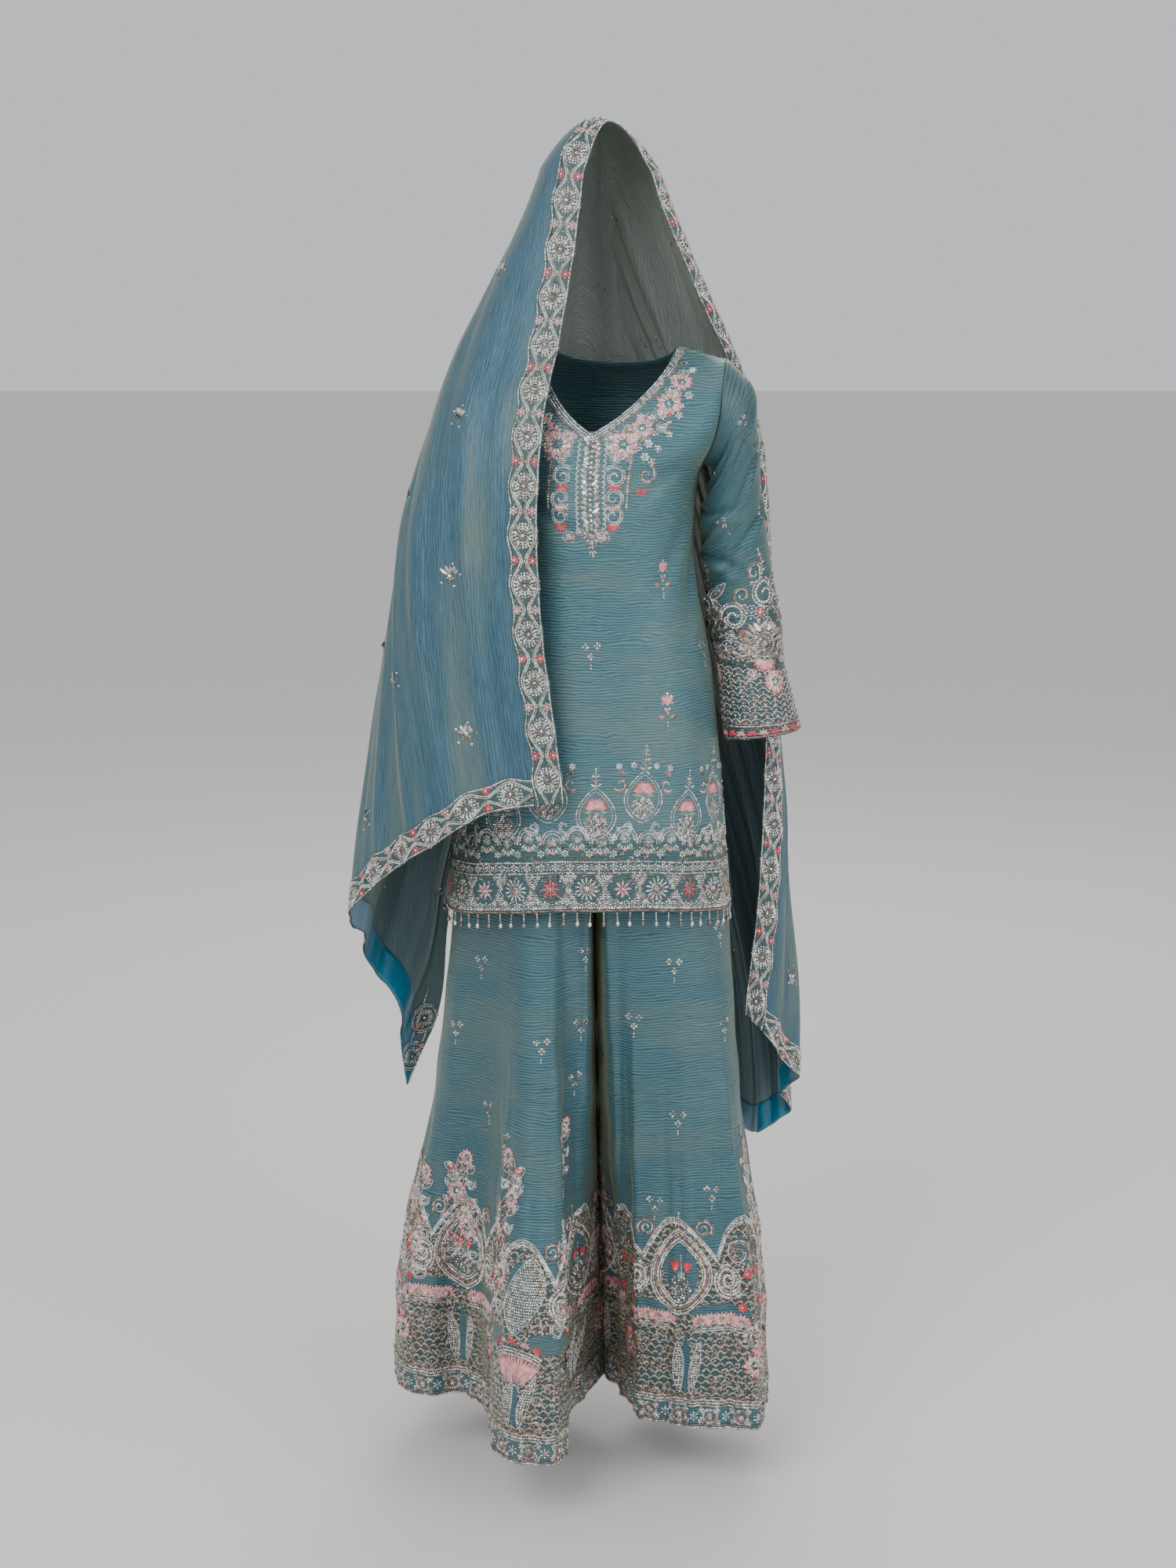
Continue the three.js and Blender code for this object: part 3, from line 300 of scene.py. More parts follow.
class Cloth:
    """points[row, column], u[row, column] rising along a row, v[row] rising from row to row."""

    def __init__(self, points, u, v, outward):
        self.points, self.u, self.v, self.outward = points, u, v, outward
        self.normals = grid_normals(points, outward)

    def map(self):
        return uv_of(self.u, self.v[:, None])

    def flipped(self):
        """The same cloth with u measured back from its last column."""
        return Cloth(self.points[:, ::-1], self.u[:, -1:] - self.u[:, ::-1], self.v, -self.outward)

    def width(self, v):
        return np.interp(v, self.v, self.u[:, -1] - self.u[:, 0])

    def holds(self, u, v):
        rows = np.clip(np.rint(np.interp(v, self.v, np.arange(len(self.v)))).astype(int), 0, len(self.v) - 1)
        in_rows = (v >= self.v[0] - 0.6) & (v <= self.v[-1] + 0.6)
        return in_rows & (u >= self.u[rows, 0] - 0.6) & (u <= self.u[rows, -1] + 0.6)

    def frame(self, u, v):
        """Point, normal, and the steps in space for one millimetre of u and of v."""
        u, v = np.asarray(u, float), np.asarray(v, float)
        last_r, last_c = self.points.shape[0] - 2, self.points.shape[1] - 2
        rows = np.interp(v, self.v, np.arange(len(self.v)))
        r = np.clip(rows.astype(int), 0, last_r)
        near, far = np.empty_like(u), np.empty_like(u)
        for row in np.unique(r):
            chosen = r == row
            near[chosen] = np.interp(u[chosen], self.u[row], np.arange(last_c + 2))
            far[chosen] = np.interp(u[chosen], self.u[row + 1], np.arange(last_c + 2))
        share = rows - r
        columns = near * (1 - share) + far * share
        c = np.clip(columns.astype(int), 0, last_c)
        fr, fc = share[:, None], (columns - c)[:, None]

        def blend(grid):
            first = grid[r, c] * (1 - fc) + grid[r, c + 1] * fc
            second = grid[r + 1, c] * (1 - fc) + grid[r + 1, c + 1] * fc
            return first * (1 - fr) + second * fr

        point, normal = blend(self.points), blend(self.normals)
        across = self.points[r, c + 1] - self.points[r, c]
        step_u = across / np.maximum(self.u[r, c + 1] - self.u[r, c], 1e-6)[:, None]
        down = self.points[r + 1, c] - self.points[r, c]
        slip = (self.u[r + 1, c] - self.u[r, c])[:, None]
        step_v = (down - slip * step_u) / (self.v[r + 1] - self.v[r])[:, None]
        return point, unit(normal), step_u, step_v

    def compass(self, normal, step_u, step_v, edge):
        """Two square directions on the cloth: along the edge that a motif keeps to, and away from it."""
        keep, other = (step_u, step_v) if edge == "u" else (step_v, step_u)
        keep = flattened(keep, normal)
        other = flattened(other - normal * (normal @ other), keep)
        return (keep, other) if edge == "u" else (other, keep)


# Kurti: facing is -1 for the front and 1 for the back; angle runs round the half ring
MAP_ANGLES = np.linspace(-89.4, 89.4, 161)


def down_slit(z):
    return np.maximum(0, (SLIT_TOP - z) / SLIT_LENGTH)


def kurti_point(facing, angle, z):
    def size(column):
        return along(KURTI, "z", column, z)

    turn_round = np.radians(angle)
    share = np.sin(turn_round)
    flare = BACK_SLIT_FLARE * down_slit(z) if facing > 0 else 0
    sideways = (size("half") + flare) * np.sign(share) * np.abs(share) ** KURTI_ROUNDNESS
    in_armhole = np.maximum(0, 1 - ((z - ARMHOLE_MIDDLE) / ARMHOLE_HALF) ** 2)
    edge = ARMHOLE_HOLLOW[facing] * np.sqrt(in_armhole) + SLIT_OPENING * down_slit(z)
    full = size("front" if facing < 0 else "back")
    depth = edge + (full - edge) * np.cos(turn_round) ** KURTI_ROUNDNESS
    turn = np.radians(size("turn"))
    forward = facing * depth
    return stack(
        size("centre") + sideways * np.cos(turn) + forward * np.sin(turn),
        forward * np.cos(turn) - sideways * np.sin(turn),
        z,
    )


def kurti_top(facing, angle):
    across = SHOULDER_REACH * np.abs(np.sin(np.radians(angle))) ** KURTI_ROUNDNESS
    neckline = along(FRONT_NECKLINE if facing < 0 else BACK_NECKLINE, "across", "z", across)
    down = (across - NECK_HALF) / (SHOULDER_HALF - NECK_HALF)
    return np.where(across < NECK_HALF, neckline, -SHOULDER_DROP * np.minimum(1, down))


def kurti_hem(angle):
    return HEM_MIDDLE - HEM_SIDE_DROP * np.sin(np.radians(angle)) ** 2


KURTI_CREASES = table("angle z slant long wide deep", [
    (-38, -640, 4, 90, 9, 3.3),
    (-12, -650, -3, 80, 8, 2.7),
    (21, -640, 5, 100, 9, 3.6),
    (47, -630, -6, 90, 8, 3.3),
    (66, -560, -8, 120, 8, 3.9),
    (-60, -560, 8, 120, 8, 3.9),
    (58, -250, 20, 60, 7, 3.6),
    (70, -300, 14, 70, 6, 3.3),
    (-62, -260, -18, 60, 7, 3.6),
    (35, -180, 34, 50, 8, 2.7),
    (-30, -190, -30, 46, 8, 2.7),
])


def kurti_creases(angle, z):
    """Soft troughs: places on the half ring and heights, with a slant, length, width and depth."""
    depth = np.zeros(np.broadcast(angle, z).shape)
    for middle, height, slant, long, wide, deep in zip(*KURTI_CREASES.values()):
        run = (z - height) / long
        depth += crease(run, (angle - middle - slant * run) / wide, deep, 0.6, 1.7)
    return depth


def kurti_surface(facing, angle, z):
    points = kurti_point(facing, angle, z)
    folds = kurti_creases(angle * (1 if facing < 0 else -1), z)
    edges = np.clip((89 - np.abs(angle)) / 8, 0, 1) * np.clip(-z / 120, 0, 1)
    turn = np.radians(angle)
    outward = stack(np.sin(turn), facing * np.cos(turn), 0 * folds)
    return points + outward * (folds * edges)[..., None]


def kurti_cloth(facing, v, heights):
    """The map that embroidery is laid on: u from the middle line, v as named for each row of heights."""
    points = kurti_surface(facing, MAP_ANGLES[None, :], heights)
    return Cloth(points, arc_lengths(points, len(MAP_ANGLES) // 2), v, facing)


def kurti_grid(facing, rows, columns):
    angles = np.linspace(-89.6, 89.6, columns)
    shares = np.linspace(1, 0, rows)
    heights = mix(kurti_hem(angles)[None, :], kurti_top(facing, angles)[None, :] - SEAM_GAP, shares[:, None])
    return kurti_surface(facing, np.broadcast_to(angles, heights.shape), heights)


# Sleeve: a tube from the armhole to the cuff; side is 1 for the arm that shows
def sleeve_rings(side, turns):
    z = ARMHOLE_MIDDLE + (ARMHOLE_HALF - 1) * np.cos(turns)
    front = kurti_point(-1, side * 89.6, z)
    back = kurti_point(1, side * 89.6, z)
    top = np.where((np.sin(turns) > 0)[:, None], front, back) + np.array([side * 2 * SEAM_GAP, 0, 0])
    share = 1 if side > 0 else HIDDEN_SLEEVE_SHARE
    rings = [top]
    for n in range(len(SLEEVE["z"])):
        row = {name: SLEEVE[name][n] for name in SLEEVE}
        outward = row["across"] * share * np.cos(turns)
        tilt = math.radians(row["tilt"])
        rings.append(stack(
            (row["x"] if side > 0 else row["hidden_x"]) + side * outward * math.cos(tilt),
            (row["y"] if side > 0 else row["hidden_y"]) - row["deep"] * share * np.sin(turns),
            row["z"] + outward * math.sin(tilt),
        ))
    return np.stack(rings)


SLEEVE_CREASES = table("turn down slant long wide deep", [
    (35, 0.1, 0.05, 36, 0.012, 4.2),
    (58, 0.17, 0.07, 42, 0.013, 5),
    (24, 0.26, -0.05, 34, 0.012, 4),
    (62, 0.32, 0.07, 42, 0.013, 5),
    (18, 0.4, 0.05, 34, 0.012, 3.8),
    (150, 0.12, 0.03, 40, 0.012, 6.1),
    (165, 0.2, 0.05, 46, 0.014, 7.1),
    (140, 0.3, -0.06, 50, 0.013, 5.8),
    (170, 0.42, 0.07, 44, 0.014, 6.8),
    (130, 0.5, -0.05, 48, 0.013, 6.1),
    (160, 0.57, 0.04, 50, 0.012, 6.8),
    (60, 0.46, 0.05, 40, 0.014, 4.4),
    (40, 0.58, -0.05, 36, 0.012, 4.1),
    (250, 0.5, 0.06, 50, 0.014, 5.8),
    (230, 0.36, -0.05, 46, 0.013, 5.4),
    (300, 0.6, 0.05, 40, 0.012, 4.4),
])


def sleeve_cloth(side, rows, columns):
    turns = np.radians(np.linspace(-90, 270, columns))
    rings = sleeve_rings(side, turns)
    keys = np.arange(len(rings), dtype=float)
    down = np.linspace(0, keys[-1], rows)
    points = np.moveaxis(hermite(keys, np.moveaxis(rings, 0, -1), down), -1, 0)
    normals = grid_normals(points, -side)
    depth = np.zeros(points.shape[:2])
    for turn, share, slant, long, wide, deep in zip(*SLEEVE_CREASES.values()):
        run = ((np.degrees(turns)[None, :] - turn + 180) % 360 - 180) / long
        depth += crease(run, (down[:, None] / keys[-1] - share - slant * run) / wide, deep, 0.7, 2)
    points = (points + normals * depth[..., None])[::-1]
    middle = columns // 2
    return Cloth(points, arc_lengths(points, middle), path_lengths(points[:, middle]), side)


# Palazzo: side is -1 for the wearer's right leg; facing is -1 for the front
def hip_point(side, facing, angle, z):
    left, right = along(HIPS, "z", "left", z), along(HIPS, "z", "right", z)
    depth = along(HIPS, "z", "front" if facing < 0 else "back", z)
    turn = np.radians(angle)
    x = (left + right) / 2 + side * (right - left) / 2 * np.sin(turn)
    return stack(x, facing * depth * np.cos(turn), z)


def fold_points(side, facing, z):
    """Where each fold line of a panel is at heights z: [row, fold, xyz]."""
    folds = FOLDS[side, facing]
    hips = hip_point(side, facing, folds["angle"][None, :], z[:, None])
    share = along(SPREAD, "z", "share", z)[:, None]
    x = mix(hips[..., 0], folds["x"][None, :], share)
    y = mix(hips[..., 1], folds["y"][None, :], share)
    return stack(x, y + facing * SEAM_GAP, z[:, None])


def centre_points(side, facing, z):
    hips = hip_point(side, facing, 0, z)
    turned = smooth((CROTCH_TOP - z) / (CROTCH_TOP - CROTCH))
    down = np.clip((CROTCH - z) / (CROTCH - PALAZZO_HEM), 0, 1)
    inseam_x = mix(-24, -11 if side < 0 else -7, down)
    inseam_y = mix(CROTCH_DEPTH, 24, down)
    return stack(
        mix(hips[:, 0], inseam_x, turned) + side * SEAM_GAP,
        mix(hips[:, 1], inseam_y, turned) + facing * SEAM_GAP,
        z,
    )


PALAZZO_CREASES = {
    -1: table("across wide deep top slant", [
        (0.07, 0.02, 6, -900, 0.02), (0.16, 0.018, -4.5, -980, 0.01), (0.27, 0.016, 6.8, -860, -0.02),
        (0.36, 0.016, -6, -900, 0.02), (0.48, 0.014, 5.2, -820, 0), (0.57, 0.014, -6, -860, 0.02),
        (0.66, 0.014, 6, -800, -0.01), (0.74, 0.014, -5.2, -840, 0.01), (0.84, 0.014, 6, -820, 0.01),
        (0.92, 0.012, -4.5, -900, 0),
    ]),
    1: table("across wide deep top slant", [
        (0.08, 0.02, -6, -960, 0.01), (0.2, 0.018, 6, -880, 0.02), (0.3, 0.016, -6.8, -920, -0.01),
        (0.43, 0.016, 6, -840, 0.02), (0.54, 0.014, -6, -900, -0.02), (0.64, 0.016, 6.8, -820, 0.01),
        (0.76, 0.014, -5.2, -860, 0), (0.88, 0.014, 5.2, -880, 0.01),
    ]),
}


def palazzo_cloth(side, facing, rows, columns):
    """A panel from its side seam to its centre seam; v runs up from the hem."""
    z = np.linspace(PALAZZO_HEM, WAIST - SEAM_GAP, rows)
    own = fold_points(side, facing, z)
    centre = centre_points(side, facing, z)[:, None]
    past_side = fold_points(side, -facing, z)[:, 1:2]
    leg = fold_points(side, -facing, z)[:, -1:]
    other = fold_points(-side, facing, z)[:, -1:]
    turned = smooth((CROTCH_TOP - z) / (CROTCH_TOP - CROTCH))[:, None, None]
    points = np.concatenate([past_side, own, centre, mix(other, leg, turned)], axis=1)
    hem_steps = np.linalg.norm(np.diff(points[0], axis=0), axis=-1)
    keys = np.concatenate([[0], np.cumsum(np.maximum(hem_steps, 12))])
    at = np.linspace(keys[1], keys[-2], columns)
    smooth_points = np.moveaxis(hermite(keys, np.moveaxis(points, 1, -1), at), -1, 1)
    share = (at - keys[1]) / (keys[-2] - keys[1])
    depth = np.zeros(smooth_points.shape[:2])
    for across, wide, deep, top, slant in zip(*PALAZZO_CREASES[side * facing].values()):
        fade = smooth((top - z) / 260)[:, None]
        path = across + slant * (PALAZZO_HEM - z[:, None]) / 400
        depth += deep * fade * np.exp(-(((share[None, :] - path) / wide) ** 2))
    depth += 1.1 * np.sin(z[:, None] / 17 + 9 * share[None, :]) * smooth((-740 - z) / 200)[:, None]
    depth *= np.clip(np.minimum(share, 1 - share) / 0.03, 0, 1)[None, :]
    outward = -side * facing
    normals = grid_normals(smooth_points, outward)
    smooth_points = smooth_points + normals * depth[..., None]
    return Cloth(smooth_points, arc_lengths(smooth_points, 0), z - PALAZZO_HEM, outward)


# Veil: a place around it and a height, then a place on the cloth itself
def section_point(round_, z):
    at = {name: along(VEIL, "z", name, z) for name in "rx ry sx sy bx by tx ty lx ly".split()}

    def bend(edge_x, edge_y, side_x, side_y, share):
        left, kept = (1 - share) ** 2, 2 * share * (1 - share)
        return left * edge_x + (kept + share ** 2) * side_x, (left + kept) * edge_y + share ** 2 * side_y

    def quarter(side_x, side_y, share):
        turn = np.clip(share, 0, 1) * math.pi / 2
        across = np.clip(np.cos(turn), 0, 1) ** 0.92
        back = np.clip(np.sin(turn), 0, 1) ** 0.92
        return at["bx"] + (side_x - at["bx"]) * across, side_y + (at["by"] - side_y) * back

    places = [
        bend(at["rx"], at["ry"], at["sx"], at["sy"], np.clip(round_ / 0.25, 0, 1)),
        quarter(at["sx"], at["sy"], (round_ - 0.25) / 0.25),
        quarter(at["tx"], at["ty"], (0.85 - round_) / 0.35),
        bend(at["lx"], at["ly"], at["tx"], at["ty"], np.clip((1 - round_) / 0.15, 0, 1)),
    ]
    chosen = [round_ < 0.25, round_ < 0.5, round_ < 0.85]
    x = np.select(chosen, [p[0] for p in places[:3]], places[3][0])
    y = np.select(chosen, [p[1] for p in places[:3]], places[3][1])
    return x, y


def ridge_height(round_):
    return along(RIDGE, "round", "z", np.minimum(round_, 1 - round_))


def veil_shell(round_, z):
    ridge_place = np.minimum(round_, 1 - round_)
    below = np.maximum(0, ridge_height(round_) - z)
    share = np.minimum(1, below / DOME_HEIGHT) ** 0.56
    x, y = section_point(round_, np.minimum(z, VEIL["z"][0]))
    return stack(
        mix(along(RIDGE, "round", "x", ridge_place), x, share),
        mix(along(RIDGE, "round", "y", ridge_place), y, share),
        ridge_height(round_) - below,
    )


class HalfVeil:
    """Half the dupatta: s is 0 at its end and 1 at the crown, and column 0 is the face edge."""

    def __init__(self, side):
        self.side = side
        self.end, self.back = VEIL_ENDS[side], VEIL_BACK_EDGES[side]
        self.folds = VEIL_FOLDS[side]
        self.edge_round = 0.0 if side < 0 else 1.0
        top = float(ridge_height(self.edge_round))
        z = mix(self.end["z"][0], top, 1 - (1 - np.linspace(0, 1, 401)) ** 2)
        lengths = path_lengths(veil_shell(np.full_like(z, self.edge_round), z))
        self.length = lengths[-1]
        self.shares, self.heights = lengths / self.length, z

    def face_edge(self, s):
        return np.full_like(s, self.edge_round), np.interp(s, self.shares, self.heights)

    def back_edge(self, s):
        return along(self.back, "along", "round", s), along(self.back, "along", "z", s)

    def ending(self, t):
        return along(self.end, "across", "round", t), along(self.end, "across", "z", t)

    def crown(self, t):
        round_ = mix(self.edge_round, 0.5, np.clip(t / RIDGE_SHARE, 0, 1))
        down = np.clip((t - RIDGE_SHARE) / (1 - RIDGE_SHARE), 0, 1)
        return round_, mix(ridge_height(round_), self.back["z"][-1], down)

    def bare(self, s, t):
        ones = np.ones_like(s)
        corners = [self.face_edge(0 * ones), self.face_edge(ones), self.ending(ones), self.back_edge(ones)]
        face, back, end, crown = self.face_edge(s), self.back_edge(s), self.ending(t), self.crown(t)
        round_, z = [
            (1 - t) * face[k] + t * back[k] + (1 - s) * end[k] + s * crown[k]
            - (1 - s) * (1 - t) * corners[0][k] - s * (1 - t) * corners[1][k]
            - (1 - s) * t * corners[2][k] - s * t * corners[3][k]
            for k in (0, 1)
        ]
        return veil_shell(round_, z)

    def at(self, s, columns):
        """Points for rows s and a [row, column] array of cloth columns, and their lengths along a rib."""
        t = np.linspace(0, 1, 121)
        lengths = row_lengths(self.bare(np.repeat(s[:, None], len(t), 1), np.repeat(t[None, :], len(s), 0)))
        wanted = column_length(columns, lengths[:, -1:])
        places = np.stack([np.interp(wanted[r], lengths[r], t) for r in range(len(s))])
        rows = np.repeat(s[:, None], places.shape[1], 1)
        points = self.bare(rows, places)
        return points + self.normals(rows, places) * self.fold_height(rows, columns)[..., None], wanted

    def normals(self, s, t, step=0.012):
        low_s, high_s = np.clip(s - step, 0, 1), np.clip(s + step, 0, 1)
        low_t, high_t = np.clip(t - step, 0, 1), np.clip(t + step, 0, 1)
        toward = self.bare(high_s, t) - self.bare(low_s, t)
        across = self.bare(s, high_t) - self.bare(s, low_t)
        normals = np.cross(toward, across) * -self.side
        length = np.linalg.norm(normals, axis=-1, keepdims=True)
        return np.where(length > 1e-6, normals / np.maximum(length, 1e-6), np.array([0, 0, 1.0]))

    def fold_height(self, s, column):
        total = np.zeros_like(column)
        for across, width, height, deepest in zip(*self.folds.values()):
            fade = smooth((1 - s) / 0.55) * (1 - 0.35 * np.abs(s - deepest))
            total += height * fade * np.exp(-(((column - across) / width) ** 2))
        return total + veil_creases(self.side, s, column)


VEIL_CREASES = {
    -1: table("across drift wide deep low high", [
        (0.075, 0.01, 0.009, -4.2, 0.02, 0.8), (0.125, -0.015, 0.012, 4.9, 0, 0.7),
        (0.165, 0.02, 0.01, -4.2, 0.1, 0.9), (0.235, -0.02, 0.012, -5.6, 0, 0.75),
        (0.275, 0.015, 0.011, 4.9, 0.05, 0.85), (0.315, -0.01, 0.012, -4.9, 0, 0.6),
        (0.385, 0.02, 0.014, 5.6, 0, 0.8), (0.43, -0.015, 0.012, -5.6, 0.05, 0.7),
        (0.52, 0.02, 0.014, -6.3, 0, 0.85), (0.56, -0.01, 0.012, 5.6, 0.1, 0.7),
        (0.66, 0.015, 0.013, -5.6, 0, 0.8), (0.78, -0.02, 0.014, 6.3, 0, 0.7),
        (0.815, 0.01, 0.012, -4.9, 0.1, 0.8), (0.905, -0.01, 0.012, 4.9, 0, 0.6),
    ]),
    1: table("across drift wide deep low high", [
        (0.08, 0.012, 0.01, 4.2, 0.2, 0.95), (0.12, -0.015, 0.012, -6.3, 0.25, 0.98),
        (0.155, 0.01, 0.012, 5.6, 0.3, 0.98), (0.215, -0.02, 0.012, -7, 0.3, 0.97),
        (0.255, 0.015, 0.012, 6.3, 0.2, 0.95), (0.29, -0.01, 0.011, -6.3, 0.35, 0.98),
        (0.365, 0.02, 0.014, -6.3, 0.1, 0.9), (0.41, -0.015, 0.012, 6.3, 0.2, 0.95),
        (0.5, 0.02, 0.014, -6.3, 0, 0.9), (0.55, -0.01, 0.012, 5.6, 0.1, 0.8),
        (0.65, 0.015, 0.013, -5.6, 0, 0.85), (0.69, -0.01, 0.012, 4.9, 0, 0.8),
        (0.79, -0.02, 0.014, 6.3, 0, 0.7), (0.84, 0.01, 0.012, -4.9, 0.1, 0.8),
    ]),
}


def veil_creases(side, s, column):
    """Long soft ridges and troughs that run the length of the veil and drift across it."""
    total = np.zeros_like(column)
    for across, drift, wide, deep, low, high in zip(*VEIL_CREASES[side].values()):
        path = across + drift * np.sin(3.1 * s + 9 * across)
        fade = smooth((s - low) / 0.15 + 0.5) * smooth((high - s) / 0.15)
        total += deep * fade * np.exp(-(((column - path) / wide) ** 2))
    return total


def column_length(column, full):
    """A veil column as a length along its rib: border strips keep their width on every rib."""
    face = column * VEIL_WIDTH
    back = full - (1 - column) * VEIL_WIDTH
    field = (column - BORDER_SHARE) / (1 - 2 * BORDER_SHARE)
    middle = mix(VEIL_BORDER, full - VEIL_BORDER, field)
    return np.where(column <= BORDER_SHARE, face, np.where(column >= 1 - BORDER_SHARE, back, middle))


# Mesh making
def new_mesh(name, vertices, faces, uv, materials, face_material=None):
    mesh = bpy.data.meshes.new(name)
    mesh.from_pydata((np.asarray(vertices) / 1000).tolist(), [], np.asarray(faces).tolist())
    if uv is not None:
        layer = mesh.uv_layers.new(name="cloth")
        loops = np.zeros(len(mesh.loops), np.int32)
        mesh.loops.foreach_get("vertex_index", loops)
        layer.data.foreach_set("uv", (np.asarray(uv)[loops] / 1000).astype(np.float32).ravel())
    for material in materials:
        mesh.materials.append(material)
    if face_material is not None:
        mesh.polygons.foreach_set("material_index", np.asarray(face_material, np.int32))
    mesh.shade_smooth()
    mesh.update()
    piece = bpy.data.objects.new(name, mesh)
    bpy.context.scene.collection.objects.link(piece)
    return piece


def quads_of(rows, columns, first=0):
    index = first + np.arange(rows * columns).reshape(rows, columns)
    return np.stack([index[:-1, :-1], index[1:, :-1], index[1:, 1:], index[:-1, 1:]], -1).reshape(-1, 4)


def shell(name, points, uv, outward, thickness, materials, closed=False):
    """A thin shell on a grid of points: its outer face, its inner face and the rim between."""
    normals = grid_normals(points, outward)
    if closed:
        seam = unit(normals[:, 0] + normals[:, -1])
        points = np.concatenate([points[:, :-1], points[:, :1]], 1)
        normals = np.concatenate([seam[:, None], normals[:, 1:-1], seam[:, None]], 1)
    rows, columns = points.shape[:2]
    inner = points - normals * thickness
    count = rows * columns
    faces = quads_of(rows, columns)
    back = quads_of(rows, columns, count)[:, ::-1]
    if outward < 0:
        faces, back = faces[:, ::-1], back[:, ::-1]
    index = np.arange(count).reshape(rows, columns)
    if closed:
        ring = np.concatenate([index[0, :-1], index[-1, :0:-1]])
        after = np.concatenate([index[0, 1:], index[-1, -2::-1]])
    else:
        ring = np.concatenate([index[0, :-1], index[:-1, -1], index[-1, :0:-1], index[:0:-1, 0]])
        after = np.roll(ring, -1)
    rim = np.stack([ring, after, after + count, ring + count], -1)
    if outward < 0:
        rim = rim[:, ::-1]
    everything = np.concatenate([faces, back, rim])
    layers = np.zeros(len(everything))
    layers[len(faces):2 * len(faces)] = len(materials) - 1
    vertices = np.concatenate([points.reshape(-1, 3), inner.reshape(-1, 3)])
    flat = uv.reshape(-1, 2)
    piece = new_mesh(name, vertices, everything, np.concatenate([flat, flat]), materials, layers)
    if closed:
        welded = bmesh.new()
        welded.from_mesh(piece.data)
        bmesh.ops.remove_doubles(welded, verts=welded.verts, dist=1e-6)
        welded.to_mesh(piece.data)
        welded.free()
    return piece


def add_map(piece, name, uv):
    """A second UV map, the same on both layers of a shell."""
    layer = piece.data.uv_layers.new(name=name)
    loops = np.zeros(len(piece.data.loops), np.int32)
    piece.data.loops.foreach_get("vertex_index", loops)
    flat = uv.reshape(-1, 2)
    layer.data.foreach_set("uv", flat[loops % len(flat)].astype(np.float32).ravel())


def uv_of(u, v):
    return np.stack(np.broadcast_arrays(u, v), -1).astype(float)


# Stitches: each bead, sequin or thread stitch is a small dome, gathered into one mesh a garment.
# Kinds: material, sides of the dome, light and dark colour, metal and roughness
KINDS = {
    "silver": ("silver_bead", 6, (232, 227, 219), (150, 140, 132), 0.7, 0.24),
    "sequin": ("sequin", 6, (254, 251, 246), (176, 166, 158), 0.75, 0.14),
    "rose": ("rose_bead", 6, (172, 140, 130), (112, 92, 86), 0.7, 0.3),
    "white": ("white_thread", 4, (242, 240, 234), (184, 184, 178), 0.1, 0.42),
    "pink": ("pink_thread", 4, (238, 172, 170), (206, 132, 134), 0.0, 0.55),
    "red": ("red_thread", 4, (232, 72, 84), (196, 46, 64), 0.0, 0.5),
    "green": ("green_thread", 4, (138, 168, 148), (96, 128, 112), 0.0, 0.55),
}
KIND_NAMES = list(KINDS)
PALE, ROSY = ("white", "silver"), ("rose", "silver")


def stitch(x, y, turn, kind, long, wide, high):
    """Rows of x, y, turn in radians, kind, length, width and height for one motif."""
    columns = np.broadcast_arrays(x, y, turn, KIND_NAMES.index(kind), long, wide, high)
    return np.stack([np.atleast_1d(c).astype(float) for c in columns], axis=-1).reshape(-1, 7)


def moved(motif, x=0.0, y=0.0, turn=0.0, size=1.0, flip=False):
    """A motif turned, sized and set down at x, y; flip mirrors it left to right first."""
    rows = motif.copy()
    if flip:
        rows[:, 0] *= -1
        rows[:, 2] = math.pi - rows[:, 2]
    angle = math.radians(turn)
    px, py = rows[:, 0] * size, rows[:, 1] * size
    rows[:, 0] = x + px * math.cos(angle) - py * math.sin(angle)
    rows[:, 1] = y + px * math.sin(angle) + py * math.cos(angle)
    rows[:, 2] += angle
    return rows


def both_ways(motif):
    return np.concatenate([motif, moved(motif, flip=True)])


def on_path(path, kind, spacing, long=3.4, wide=1.7, high=0.9):
    """Stitches at even spacing along a path of x, y points, each turned along it."""
    path = np.asarray(path, float)
    lengths = path_lengths(path)
    at = even_places(lengths, spacing)
    x, y = sampled(at, lengths, path).T
    dx, dy = (sampled(at + 0.5, lengths, path) - sampled(at - 0.5, lengths, path)).T
    return stitch(x, y, np.arctan2(dy, dx), kind, long, wide, high)


def arc(rx, ry, start=0.0, end=360.0, x=0.0, y=0.0, count=40):
    angles = np.radians(np.linspace(start, end, count))
    return np.stack([x + rx * np.cos(angles), y + ry * np.sin(angles)], axis=1)


def dots(radius, count, kind, size=2.6, start=90.0, squash=1.0, high=1.1):
    """A ring of round beads."""
    angles = np.radians(start + np.arange(count) * 360 / count)
    return stitch(radius * np.cos(angles), radius * squash * np.sin(angles), 0, kind, size, size, high)


def petals(inner, outer, count, kind, wide, start=90.0, sweep=360.0, squash=1.0):
    """Petals that point outward, between an inner and an outer radius."""
    step = sweep / count if sweep == 360 else sweep / max(1, count - 1)
    angles = np.radians(start - (0 if sweep == 360 else sweep / 2) + np.arange(count) * step)
    x, y = np.cos(angles), squash * np.sin(angles)
    middle = (inner + outer) / 2
    return stitch(middle * x, middle * y, np.arctan2(y, x), kind, outer - inner, wide, 0.9)


def bead(kind, size=3.0, x=0.0, y=0.0, high=1.3):
    return stitch(x, y, 0, kind, size, size, high)


def join(*motifs):
    return np.concatenate(motifs)


def flower(radius, kind, count=8, heart="silver"):
    """A small flower: petals round one bead."""
    return join(petals(radius * 0.25, radius, count, kind, radius * 0.55), bead(heart, radius * 0.6))


